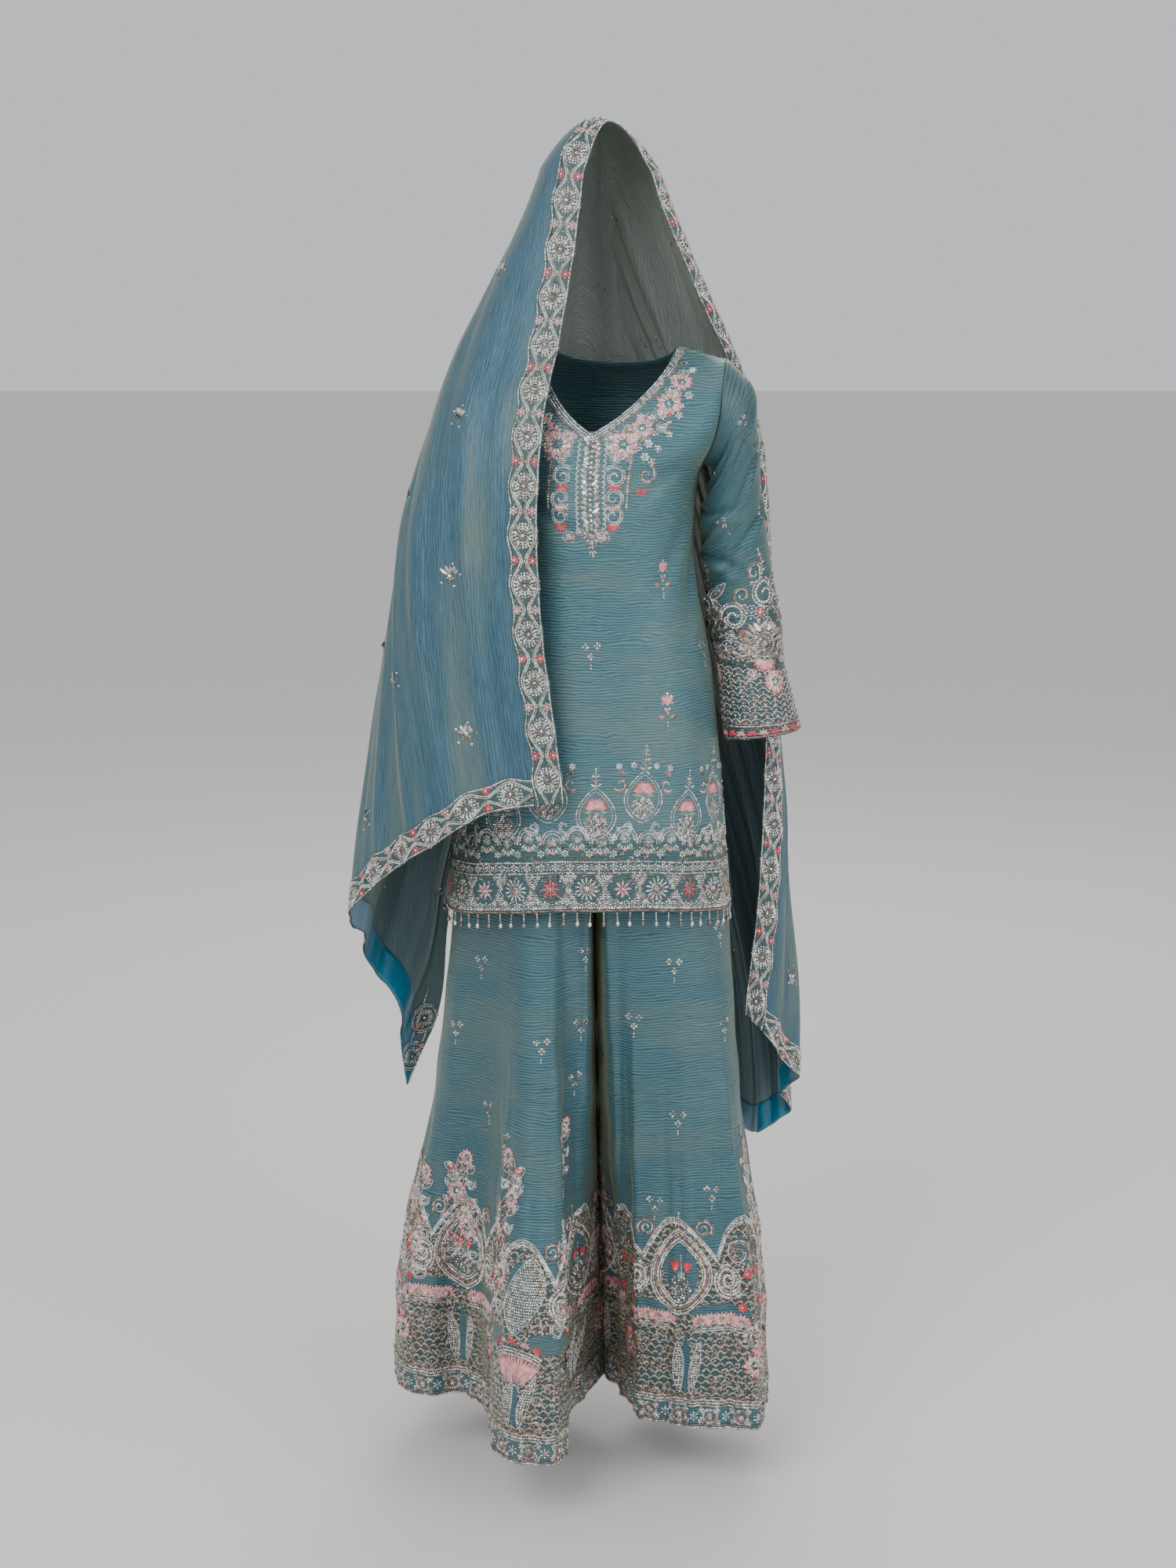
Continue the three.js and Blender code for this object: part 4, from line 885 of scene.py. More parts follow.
def burst(radius, kinds=("silver", "rose")):
    """A sequinned rosette: rings of beads and a fringe of short stitches."""
    rings = [bead("sequin", 3.4)]
    for n, distance in enumerate(np.arange(3.1, radius - 1.4, 2.9)):
        kind = kinds[n % len(kinds)]
        rings.append(dots(distance, max(6, round(distance * 2.1)), kind, 2.7, start=90 + 25 * n))
    rings.append(petals(radius - 2.6, radius + 0.8, round(radius * 2.1), "silver", 1.4))
    return join(*rings)


def pink_rosette(radius, tips="red"):
    """A thread flower: pink petals with darker tips round a sequinned heart."""
    return join(
        petals(radius * 0.4, radius, 11, "pink", radius * 0.42),
        petals(radius * 0.3, radius * 0.72, 11, "white", radius * 0.2, start=16),
        petals(radius * 0.84, radius * 1.1, 6, tips, radius * 0.26),
        dots(radius * 0.42, 6, "silver", radius * 0.24),
        bead("sequin", radius * 0.4),
    )


def star(radius, kind):
    """A star flower of eight narrow thread petals."""
    return join(petals(1.5, radius, 8, kind, radius * 0.26), bead("sequin", 3.2), dots(3.2, 6, "silver", 1.8))


def starburst(radius):
    """A large sequinned flower with a ring of white spikes."""
    return join(burst(radius * 0.55), petals(radius * 0.5, radius, 14, "white", 2.2),
                dots(radius * 0.86, 14, "silver", 2.6, start=13))


def scroll(size, turns=1.15, kinds=("silver", "rose")):
    """An S-free curl: a spiral of beads with a second line outside it."""
    angles = np.linspace(0, turns * 2 * math.pi, 60)
    radius = size * (0.2 + 0.8 * angles / angles[-1])
    spiral = np.stack([radius * np.cos(angles), radius * np.sin(angles)], axis=1)
    thick = max(1.0, size / 11)
    outside = spiral * (1 + 2.5 * thick / np.maximum(radius, 2.5))[:, None]
    return join(on_path(spiral, kinds[0], 2.4 * thick, 2.7 * thick, 2.3 * thick, 1.5),
                on_path(outside[18:], kinds[1], 2.3 * thick, 2.5 * thick, 1.9 * thick, 1.2))


def three_diamonds():
    """A butti of three small diamonds that point down."""
    diamond = join(dots(2.0, 4, "silver", 2.3), bead("rose", 1.8))
    stem = on_path([(0, -10), (0, -15)], "white", 2.0, 2.2, 1.2)
    return join(moved(diamond, -4.6, 3), moved(diamond, 4.6, 4), moved(diamond, 0, -4.5), stem)


def sprig():
    """A butti of a pink bud over leaves of beads."""
    leaves = petals(2, 8.5, 3, "rose", 3.2, start=90, sweep=150)
    return join(
        moved(petals(0, 9, 5, "pink", 3.4, sweep=70), 0, 3),
        moved(dots(4.2, 7, "silver", 2.3, squash=1.4), 0, 6),
        moved(leaves, 0, -7),
        bead("silver", 3, 0, -3),
        on_path([(0, -8), (0, -16)], "silver", 2.4, 2.2, 1.6),
    )


def fan(radius):
    """A palmette: pink rays with red tips over two green leaves."""
    leaf = petals(radius * 0.1, radius * 1.05, 1, "green", radius * 0.36, start=0)
    return join(
        petals(1, radius, 11, "pink", radius * 0.3, sweep=160),
        petals(radius * 0.78, radius * 1.05, 9, "red", radius * 0.2, sweep=165),
        both_ways(moved(leaf, 0, -radius * 0.22)),
        on_path([(0, -radius * 0.9), (0, 0)], "silver", 2.2, 2.2, 1.5),
    )


def bud(radius, kind):
    """A lotus bud of five petals that fan upward."""
    return petals(0.5, radius, 5, kind, radius * 0.34, sweep=150)


def drop_outline(wide, high):
    """Half an ogee from its lower point to its upper point."""
    t = np.linspace(0, 1, 50)
    return np.stack([wide / 2 * np.sin(math.pi * t ** 0.86) ** 0.8, high * (t - 0.5)], axis=1)


def scattered(rx, ry, spacing, kinds, y, size, high=1.3):
    """Beads on a triangular grid in an ellipse with its middle at y."""
    beads = []
    for r in range(int(2 * ry / (spacing * 0.87)) + 1):
        height = -ry + r * spacing * 0.87
        reach = rx * math.sqrt(max(0, 1 - (height / ry) ** 2))
        for x in np.arange(-reach + (r % 2) * spacing / 2, reach + 0.1, spacing):
            beads.append(bead(kinds[(len(beads) * 7 + r) % len(kinds)], size, x, y + height, high))
    return join(*beads)


def ogee(wide, high):
    """A hem medallion: a beaded outline with a palmette and sequins in it."""
    outline = drop_outline(wide, high)
    return join(
        both_ways(on_path(outline, "silver", 2.5, 2.9, 2.4, 1.2)),
        both_ways(on_path(outline * np.array([0.84, 0.86]), "white", 3.0, 3.1, 1.0, 0.7)),
        moved(fan(wide * 0.3), 0, high * 0.08),
        scattered(wide * 0.3, high * 0.2, 3.0, ("silver", "rose", "sequin"), -high * 0.2, 2.7, 1.1),
    )


def finial(high):
    """A pointed spray of leaves and beads that stands on a medallion."""
    steps = int(high / 6)
    tiers = []
    for n in range(steps):
        leaf = petals(0.5, 7.5 * (1 - n / (steps + 1)) + 2, 1, "rose" if n % 2 else "silver", 2.6, start=28)
        tiers.append(both_ways(moved(leaf, 0, n * 6)))
    return join(*tiers, on_path([(0, 0), (0, high)], "silver", 3, 2.6, 1.8), bead("white", 3, 0, high + 1))


def scale_cell(wide):
    """One cell of the scale lattice: a cord arch with a spray of beads under it."""
    return join(
        on_path(arc(wide / 2, wide * 0.42, 8, 172, count=20), "white", 3.0, 3.4, 1.5, 0.9),
        petals(0.6, wide * 0.3, 3, "rose", 1.7, sweep=110),
        bead("sequin", 2.7, 0, 0.6),
    )


def lattice(wide, across, down):
    """Rows of scale cells, every second row half a cell along."""
    cell = scale_cell(wide)
    cells = []
    for r in range(down):
        for c in range(across - r % 2):
            cells.append(moved(cell, (c - (across - 1 - r % 2) / 2) * wide, r * wide * 0.52))
    return join(*cells)


class Stitches:
    """Stitches placed in space on cloths, to make one mesh."""

    def __init__(self):
        self.rows = []

    def _keep(self, point, normal, toward, motif, lift):
        side = np.cross(normal, toward)
        self.rows.append((point + normal * lift, normal, toward, side, motif[:, 3], motif[:, 4:7]))

    def lay(self, cloth, motif, places, lift=0.2, edge="u"):
        """Sets a motif down at each (u, v, turn, size), true to size on the cloth around it."""
        places = np.asarray(places, float).reshape(-1, 4)
        _, normal, step_u, step_v = cloth.frame(places[:, 0], places[:, 1])
        for n, (u, v, turn, size) in enumerate(places):
            rows = moved(motif, turn=turn, size=size)
            rows[:, 4:6] *= size
            east, north = cloth.compass(normal[n], step_u[n], step_v[n], edge)
            wanted = rows[:, :1] * east + rows[:, 1:2] * north
            both = np.stack([step_u[n], step_v[n]], axis=1)
            shift = np.linalg.lstsq(both, wanted.T, rcond=None)[0]
            at_u, at_v = u + shift[0], v + shift[1]
            inside = cloth.holds(at_u, at_v)
            rows, at_u, at_v = rows[inside], at_u[inside], at_v[inside]
            if not len(rows):
                continue
            point, up, _, _ = cloth.frame(at_u, at_v)
            flat_east = flattened(east, up)
            flat_north = flattened(north - up * (up @ north)[:, None], flat_east)
            toward = np.cos(rows[:, 2:3]) * flat_east + np.sin(rows[:, 2:3]) * flat_north
            self._keep(point, up, toward, rows, lift)

    def run(self, cloth, u, v, kind, spacing, long=3.4, wide=1.7, high=0.9, lift=0.2):
        """A line of stitches through places on the cloth."""
        point, normal, _, _ = cloth.frame(*np.broadcast_arrays(u, v))
        lengths = path_lengths(point)
        at = even_places(lengths, spacing)
        up = sampled(at, lengths, normal)
        toward = flattened(sampled(at + 0.6, lengths, point) - sampled(at - 0.6, lengths, point), up)
        row = stitch(np.zeros(len(at)), 0, 0, kind, long, wide, high)
        self._keep(sampled(at, lengths, point), up, toward, row, lift)

    def mesh(self, name):
        """All the stitches as one object: a fan of 4 or 6 triangles each."""
        columns = [np.concatenate([row[k] for row in self.rows]) for k in range(6)]
        point, normal, toward, side, kind, sizes = columns
        tilt = random.normal(0, 0.3, (len(point), 2))
        vertices, faces, materials, first = [], [], [], 0
        for index, kind_name in enumerate(KIND_NAMES):
            chosen = kind.astype(int) == index
            if not chosen.any():
                continue
            sides = KINDS[kind_name][1]
            angles = np.arange(sides) * 2 * math.pi / sides
            p, n, t, s, size = (grid[chosen][:, None] for grid in (point, normal, toward, side, sizes))
            lean = tilt[chosen][:, None] * (kind_name in ("sequin", "silver"))
            east, north = np.cos(angles)[None, :, None], np.sin(angles)[None, :, None]
            rise = (lean[..., :1] * east * size[..., :1] + lean[..., 1:] * north * size[..., 1:2]) / 2
            ring = p + t * east * size[..., :1] / 2 + s * north * size[..., 1:2] / 2 + n * rise
            tip = p + n * size[..., 2:]
            count = len(ring)
            vertices.append(np.concatenate([ring, tip], axis=1).reshape(-1, 3))
            base = first + np.arange(count)[:, None] * (sides + 1)
            around = np.arange(sides)[None, :]
            corners = np.broadcast_arrays(base + around, base + (around + 1) % sides, base + sides)
            faces.append(np.stack(corners, -1).reshape(-1, 3))
            materials.append(np.full(count * sides, index))
            first += count * (sides + 1)
        return new_mesh(name, np.concatenate(vertices), np.concatenate(faces), None,
                        list(BEAD_MATERIALS.values()), np.concatenate(materials))


# Materials
class Nodes:
    """A material's node tree, with short calls to add a node and join it up."""

    def __init__(self, name):
        self.material = bpy.data.materials.new(name)
        self.material.use_nodes = True
        self.tree = self.material.node_tree
        self.shader = self.tree.nodes["Principled BSDF"]

    def add(self, kind, inputs=None, **settings):
        """A node with its settings, then its inputs by socket name or place."""
        node = self.tree.nodes.new(kind)
        for key, value in settings.items():
            setattr(node, key, value)
        for key, value in (inputs or {}).items():
            self.put(node.inputs[key], value)
        return node

    def put(self, socket, value):
        if isinstance(value, bpy.types.NodeSocket):
            self.tree.links.new(value, socket)
        else:
            socket.default_value = value

    def set(self, **inputs):
        for key, value in inputs.items():
            self.put(self.shader.inputs[key.replace("_", " ")], value)

    def maths(self, operation, a, b=0.0):
        return self.add("ShaderNodeMath", {0: a, 1: b}, operation=operation).outputs[0]

    def times(self, a, b):
        return self.maths("MULTIPLY", a, b)

    def plus(self, a, b):
        return self.maths("ADD", a, b)

    def minus(self, a, b):
        return self.maths("SUBTRACT", a, b)

    def over(self, a, b):
        return self.maths("DIVIDE", a, b)

    def mix(self, share, a, b):
        node = self.add("ShaderNodeMix", {"Factor": share}, data_type="RGBA")
        self.put(node.inputs["A"], a)
        self.put(node.inputs["B"], b)
        return node.outputs["Result"]

    def place(self, name="cloth"):
        return self.add("ShaderNodeUVMap", uv_map=name).outputs["UV"]

    def stretched(self, across, up):
        """The cloth's map, stretched across and up."""
        scale = (across, up, 1.0)
        return self.add("ShaderNodeMapping", {"Vector": self.place(), "Scale": scale}).outputs["Vector"]

    def noise(self, vector, detail=3.0, roughness=0.6, distortion=0.0, scale=1.0):
        inputs = {"Vector": vector, "Scale": scale, "Detail": detail}
        inputs.update(Roughness=roughness, Distortion=distortion)
        return self.add("ShaderNodeTexNoise", inputs).outputs["Fac"]

    def parts(self, vector):
        node = self.add("ShaderNodeSeparateXYZ", {0: vector})
        return node.outputs["X"], node.outputs["Y"]

    def voronoi(self, vector, scale):
        """Distance to the nearest of a scatter of points, and two chance values for each."""
        node = self.add("ShaderNodeTexVoronoi", {"Vector": vector, "Scale": scale}, voronoi_dimensions="2D")
        chance = self.add("ShaderNodeSeparateColor", {"Color": node.outputs["Color"]})
        return node.outputs["Distance"], chance.outputs["Red"], chance.outputs["Green"]

    def ramp(self, value, low, high):
        ends = {"Value": value, "From Min": low, "From Max": high}
        return self.add("ShaderNodeMapRange", ends, interpolation_type="SMOOTHSTEP").outputs["Result"]

    def bump(self, height, strength, distance, before=None):
        node = self.add("ShaderNodeBump", {"Height": height, "Strength": strength, "Distance": distance})
        if before is not None:
            self.put(node.inputs["Normal"], before)
        return node.outputs["Normal"]


def rgb(red, green, blue):
    """Display colour, 0 to 255, as the linear colour that a shader takes."""
    values = [channel / 255 for channel in (red, green, blue)]
    return (*[v / 12.92 if v <= 0.04045 else ((v + 0.055) / 1.055) ** 2.4 for v in values], 1.0)


# Tones of the ground's beads, each over the one before it: where it starts, where it is whole, and its
# colour. The last, near-white tone is a painted glint on a few beads.
BEAD_TONES = [
    (0.36, 0.4, (140, 100, 84)), (0.6, 0.64, (222, 212, 200)), (0.72, 0.76, (84, 68, 60)),
    (0.9, 0.92, (214, 142, 138)), (0.95, 0.96, (252, 250, 246)),
]


def beadwork(n, cloth, zone, least, most, arch=0.0):
    """Beads, sequins and cord arches over the cloth in a zone, with painted shade on the cloth between them:
    the colour, and the beads' height.
    """
    place = n.stretched(1.0, 1.0)
    distance, pick, tone = n.voronoi(place, 310.0)
    crowd = n.ramp(n.noise(place, 2.0, 0.5, scale=40.0), 0.36, 0.64)
    share = n.plus(n.times(crowd, most - least), least)
    shown = n.times(n.maths("LESS_THAN", pick, share), zone)
    dome = n.times(n.ramp(distance, 0.52, 0.16), shown)
    beads = rgb(186, 170, 156)
    for start, end, colour in BEAD_TONES:
        beads = n.mix(n.ramp(tone, start, end), beads, rgb(*colour))
    height = dome
    # Painted shade: in the zone the cloth colour goes halfway to a dark teal, as shade between and under the
    # beads.
    cloth = n.mix(n.times(zone, 0.5), cloth, rgb(24, 44, 46))
    if arch:
        across, up = n.parts(place)
        row = n.over(up, arch * 0.68)
        cell = n.plus(n.over(across, arch), n.times(n.maths("FLOOR", row), 0.5))
        x = n.times(n.minus(n.maths("FRACT", cell), 0.5), 2.0)
        crest_line = n.times(n.minus(1.0, n.times(x, x)), 0.52)
        off = n.maths("ABSOLUTE", n.minus(n.minus(n.maths("FRACT", row), 0.26), crest_line))
        cord = n.times(n.ramp(off, 0.2, 0.09), zone)
        cloth = n.mix(cord, cloth, rgb(184, 174, 160))
        height = n.maths("MAXIMUM", dome, n.times(cord, 0.7))
    return n.mix(n.ramp(dome, 0.02, 0.4), cloth, beads), height


def crinkled_silk(name, base, light, olive, crinkle, sheen, lengthwise=False, zone=None, least=0.3, most=0.9,
                  arch=0.0, falls=None):
    """Shot silk: fine uneven pleats across or lengthwise, painted light and shade along them, and patches of
    painted olive-gold sheen.
    """
    n = Nodes(name)
    across, up = n.parts(n.stretched(1.0, 1.0))
    loose = (0.1, 0.5) if lengthwise else (0.5, 0.1)
    drift = n.noise(n.stretched(crinkle[0] * loose[0], crinkle[1] * loose[1]), 3.0, 0.55, 0.3)
    phase = n.plus(n.times(across if lengthwise else up, 2 * math.pi / PLEAT), n.times(drift, 26.0))
    pleats = n.plus(n.times(n.maths("SINE", phase), 0.5), 0.5)
    threads = n.noise(n.stretched(crinkle[0] * 1.6, crinkle[1] * 2.0), 3.0, 0.65, 0.2)
    even = 0.2 if lengthwise else 0.42
    fine = n.plus(n.times(pleats, even), n.times(threads, 1 - even))
    lines = n.noise(n.stretched(crinkle[0] * 0.6, crinkle[1] * 0.5), 2.0, 0.5, 0.5)
    # Painted sheen: olive-gold patches, long lengthwise streaks on the veil, laid over the colour.
    spread = (14.0, 2.2) if lengthwise else (crinkle[0] * 0.16, crinkle[1] * 0.05)
    painted_sheen_patches = n.noise(n.stretched(*spread), 3.0, 0.6, 0.3)
    # Painted light and shade: the colour goes from base in the hollows of the crinkles to light on their
    # raised lines, by the same heights as the bump.
    colour = n.mix(n.ramp(n.plus(n.times(fine, 0.9), n.times(lines, 0.1)), 0.22, 0.78), base, light)
    colour = n.mix(n.times(n.ramp(painted_sheen_patches, 0.42, 0.66), 0.4 if lengthwise else 0.2), colour, olive)
    if falls is not None:
        off = n.maths("ABSOLUTE", n.minus(up, falls[0]))
        colour = n.mix(n.times(n.ramp(off, falls[1], falls[1] + 0.3), 0.72), colour, falls[2])
    wrinkle = n.noise(n.stretched(crinkle[0] ** 0.5 * 7, crinkle[1] ** 0.5 * 7), 3.0, 0.55, 0.8)
    normal = n.bump(fine, 0.6, 0.0014, n.bump(lines, 0.3, 0.002, n.bump(wrinkle, 0.35, 0.004)))
    metal, rough = 0.2, n.plus(n.times(fine, 0.2), 0.36)
    if zone is not None:
        shown = zone(n)
        colour, height = beadwork(n, colour, shown, least, most, arch)
        covered = n.ramp(height, 0.1, 0.5)
        metal = n.plus(n.times(covered, 0.5), 0.2)
        rough = n.minus(rough, n.times(covered, 0.14))
        normal = n.bump(height, 0.9, 0.0017, normal)
    n.set(
        Base_Color=colour,
        Roughness=rough,
        Metallic=metal,
        Sheen_Weight=sheen,
        Sheen_Roughness=0.4,
        Sheen_Tint=rgb(186, 184, 136),
        Normal=normal,
    )
    return n.material


def sleeve_zone(n):
    across, up = n.parts(n.stretched(1.0, 1.0))
    wave = n.maths("ABSOLUTE", n.maths("SINE", n.times(across, math.pi / 0.07)))
    edge = n.plus(n.times(wave, 0.05), 0.125)
    return n.ramp(n.minus(edge, up), -0.001, 0.001)


def palazzo_zone(n):
    """Beadwork from the hem band up to a scalloped edge, with bare islands at each repeat."""
    across, up = n.parts(n.place("repeat"))
    x = n.maths("ABSOLUTE", n.times(n.minus(n.maths("FRACT", across), 0.5), PALAZZO_REPEAT))
    wave = n.maths("ABSOLUTE", n.maths("COSINE", n.times(x, 2 * math.pi / PALAZZO_REPEAT)))
    edge = n.plus(n.times(wave, PALAZZO_SCALLOP), PALAZZO_TOP)
    zone = n.times(n.ramp(n.minus(edge, up), -1, 1), n.ramp(up, 30, 33))
    for centre_x, centre_up, wide, high in PALAZZO_ISLANDS:
        dx = n.maths("POWER", n.maths("ABSOLUTE", n.over(n.minus(x, centre_x), wide)), 1.6)
        dy = n.maths("POWER", n.maths("ABSOLUTE", n.over(n.minus(up, centre_up), high)), 1.6)
        zone = n.times(zone, n.ramp(n.plus(dx, dy), 0.94, 1.06))
    return zone


def kurti_hem_zone(n):
    _, down = n.parts(n.stretched(1.0, 1.0))
    return n.ramp(down, KURTI_HEM_Z - 0.118, KURTI_HEM_Z - 0.1)


PLEAT = 0.0036
PALAZZO_REPEAT, PALAZZO_TOP, PALAZZO_SCALLOP = 225, 232, 52
# Bare islands in a repeat: distance from its middle, height, half width and half height
PALAZZO_ISLANDS = [(0, 216, 27, 46), (57, 160, 44, 14), (0, 88, 7, 40), (100, 244, 12, 18)]
KURTI_HEM_Z = 0.722
KURTI_SILK = crinkled_silk(
    "kurti_silk", rgb(44, 86, 98), rgb(84, 126, 134), rgb(128, 132, 104), (28.0, 330.0), 0.6,
    False, kurti_hem_zone, 0.08, 0.42,
)
SLEEVE_SILK = crinkled_silk(
    "sleeve_silk", rgb(30, 70, 82), rgb(66, 106, 114), rgb(104, 112, 90), (28.0, 330.0), 0.5,
    False, sleeve_zone, 0.2, 0.6,
)
PALAZZO_SILK = crinkled_silk(
    "palazzo_silk", rgb(30, 72, 84), rgb(74, 114, 124), rgb(112, 122, 98), (26.0, 300.0), 0.5,
    False, palazzo_zone, 0.3, 0.95, 0.0125,
)
BAND_SILK = crinkled_silk(
    "waistband_silk", rgb(30, 72, 84), rgb(74, 114, 124), rgb(112, 122, 98), (26.0, 300.0), 0.5,
)
VEIL_OUTSIDE = crinkled_silk(
    "veil_tissue", rgb(26, 66, 84), rgb(72, 112, 130), rgb(118, 130, 104), (420.0, 16.0), 0.55, True,
)
VEIL_INSIDE = crinkled_silk(
    "veil_inside", rgb(118, 134, 138), rgb(166, 168, 156), rgb(146, 154, 140), (420.0, 16.0), 0.4, True,
    falls=(1.05, 0.28, rgb(66, 102, 114)),
)


def bead_material(name, _, light, dark, metal, rough):
    n = Nodes(name)
    place = n.add("ShaderNodeTexCoord").outputs["Object"]
    patch = n.ramp(n.noise(place, 2.0, 0.6, scale=160.0), 0.38, 0.62)
    n.set(Base_Color=n.mix(patch, rgb(*dark), rgb(*light)), Metallic=metal, Roughness=rough)
    return n.material


BEAD_MATERIALS = {kind: bead_material(*KINDS[kind]) for kind in KIND_NAMES}


def satin(name, colour, shade):
    n = Nodes(name)
    weave = n.noise(n.stretched(60.0, 700.0), 2.0, 0.5)
    n.set(
        Base_Color=n.mix(n.ramp(weave, 0.3, 0.7), shade, colour),
        Roughness=0.32,
        Sheen_Weight=0.3,
        Normal=n.bump(weave, 0.2, 0.0006),
    )
    return n.material


def border_ground():
    """The border's sage ground, crowded with small beads between its raised medallions."""
    n = Nodes("border_ground")
    weave = n.noise(n.stretched(500.0, 500.0), 2.0, 0.5)
    colour = n.mix(n.ramp(weave, 0.3, 0.7), rgb(42, 84, 90), rgb(84, 124, 118))
    # beadwork takes this whole ground halfway to a dark teal, as painted shade between the beads.
    colour, height = beadwork(n, colour, 1.0, 0.06, 0.42)
    n.set(
        Base_Color=colour,
        Roughness=n.minus(0.46, n.times(n.ramp(height, 0.1, 0.5), 0.16)),
        Metallic=n.times(n.ramp(height, 0.1, 0.5), 0.65),
        Normal=n.bump(height, 0.9, 0.0016),
    )
    return n.material


SATIN = satin("satin_facing", rgb(0, 122, 152), rgb(0, 92, 122))
BORDER_GROUND = border_ground()


def dress(piece, slot_name, *nodes):
    """Joins a piece to the frame: its body, root, and the nodes that it stands for, if any, which are hidden;
    the slot name is not used.
    """
    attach(piece, "root")
    if nodes:
        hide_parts(*nodes)
    return piece


def stitched(work, name):
    return dress(work.mesh(name), "border_work")


# Motifs that come again and again
# Lines along the neck: distance from its edge, kind, length and spacing
NECK_LINES = [
    (1.5, "silver", 3.2, 3.0), (4.6, "sequin", 3.4, 3.3), (7.8, "silver", 3.0, 2.9), (10.4, "rose", 2.6, 2.6),
]
# Chains beside the centre panel: place across, kind, size and number of points
NECK_CHAINS = [(0, "silver", 2.8, 20), (-2.6, "rose", 2.2, 15), (2.6, "rose", 2.2, 15)]
NECK_ROSETTES = [(100, 44, "red", 12), (90, 70, "red", 14), (62, 99, "red", 12), (41, 119, "pink", 15)]
NECK_FLOWERS = [
    (112, 60), (105, 84), (92, 92), (84, 84), (78, 104), (96, 106), (72, 118), (84, 124), (60, 122),
    (110, 30), (97, 22), (104, 72), (58, 86), (75, 88), (26, 122), (70, 134), (80, 140),
]
NECK_BURSTS = [
    (88, 54), (96, 58), (80, 78), (70, 86), (52, 106), (46, 100), (30, 108), (24, 112), (56, 112),
    (100, 34), (92, 40), (86, 98), (66, 108), (50, 134), (34, 136), (28, 128),
]
SMALL_FLOWER = join(dots(2.6, 5, "silver", 2.6), bead("sequin", 2.6))
WHITE_FLOWER = join(petals(0.8, 4.6, 6, "white", 2.6), bead("silver", 2.4))
BUTTI, SPRIG = three_diamonds(), sprig()
VEIL_BUTTI = join(
    petals(1, 9, 5, "silver", 3.2, sweep=120),
    petals(2, 6, 3, "rose", 2.6, start=-90, sweep=80),
    dots(9.5, 5, "sequin", 2.2, start=30),
    bead("sequin", 3.4),
)


# Kurti: cloth, neck, scattered sprigs and hem band
def neck_work(work, cloth, facing):
    across = np.linspace(-84, 84, 120)
    edge = along(FRONT_NECKLINE if facing < 0 else BACK_NECKLINE, "across", "z", np.abs(across))
    slope = np.gradient(edge, across)
    lean = 1 / np.sqrt(1 + slope ** 2)
    for inset, kind, long, spacing in NECK_LINES:
        work.run(cloth, across + slope * lean * inset, edge - lean * inset, kind, spacing, long, 2.8, 1.3)
    if facing > 0:
        return
    for side in (-1, 1):
        for u, down, tips, size in NECK_ROSETTES:
            work.lay(cloth, pink_rosette(size * 1.2, tips), [(side * u, -down, 0, 1)])
        for n, (u, down) in enumerate(NECK_FLOWERS):
            work.lay(cloth, SMALL_FLOWER if n % 3 else WHITE_FLOWER, [(side * u, -down, u * 3, 1.35)])
        work.lay(cloth, burst(7), [(side * u, -down, down * 5, 1) for u, down in NECK_BURSTS])
        curl, middle = scroll(12.5, 1.4, PALE), 3 + side * 33
        work.lay(cloth, moved(curl, flip=side < 0), [(middle, -158, 0, 1), (middle, -206, 0, 1)])
        work.lay(cloth, moved(curl, flip=side > 0), [(middle, -184, 180, 1)])
        red_buds = [(middle, -168), (middle, -217), (side * 72, -174)]
        work.lay(cloth, bud(10, "red"), [(u, v, 180, 1) for u, v in red_buds])
        work.lay(cloth, bud(9, "pink"), [(middle, -194, 180, 1)])
        work.lay(cloth, scroll(12, 1.2), [(side * 76, -156, 0, 1)])
        chain = np.linspace(-140, -200, 20)
        for shift, kind, size, part in NECK_CHAINS:
            work.run(cloth, 3 + side * 50 + shift, chain[:part], kind, 3.2, size, size, 1.2)
    work.lay(cloth, placket(), [(3, -112, 0, 1)])
    work.lay(cloth, burst(8), [(-19, -232, 0, 1), (25, -232, 0, 1)])


def placket():
    """The centre front panel: paired leaves up a sequinned stem, scalloped sides and a flower foot."""
    parts = []
    for y in np.arange(-6, -122, -7):
        parts.append(both_ways(moved(petals(0, 12.5, 1, "silver", 5.0), 2, y, -52)))
        parts.append(both_ways(moved(petals(3, 9, 1, "sequin", 3.0), 2, y + 3.6, -60)))
        parts.append(both_ways(on_path(arc(4.6, 3.6, -80, 80, 13.4, y + 2), "white", 2.4, 2.7, 2.2, 1.6)))
        parts.append(both_ways(join(bead("silver", 3.2, 6.2, y + 3.4), bead("rose", 2.8, 9.8, y + 1.2))))
        parts.append(moved(join(bead("sequin", 4.2), dots(3.2, 5, "rose", 1.6)), 0, y + 3))
    parts.append(moved(join(burst(9), petals(6, 12, 10, "white", 3)), 0, -128))
    parts.append(both_ways(moved(burst(6), 14, -124)))
    parts.append(moved(finial(18), 0, -137, 180))
    return join(*parts)


# Lines above the kurti's hem: height, kind, length and width
KURTI_HEM_LINES = [
    (65, "silver", 3.4, 2.8), (51, "silver", 3.2, 2.4), (5.5, "silver", 3.2, 2.8), (2, "rose", 2.6, 2.4),
]
CLUSTER_PLACES = [(-7, 0), (0, 0), (7, 0), (-3.5, -6), (3.5, -6), (0, -12)]
KURTI_SPRIGS = [(105, -284), (100, -450), (-98, -296), (-96, -456)]
KURTI_BUTTIS = [(5, -374), (-165, -380), (175, -380)]


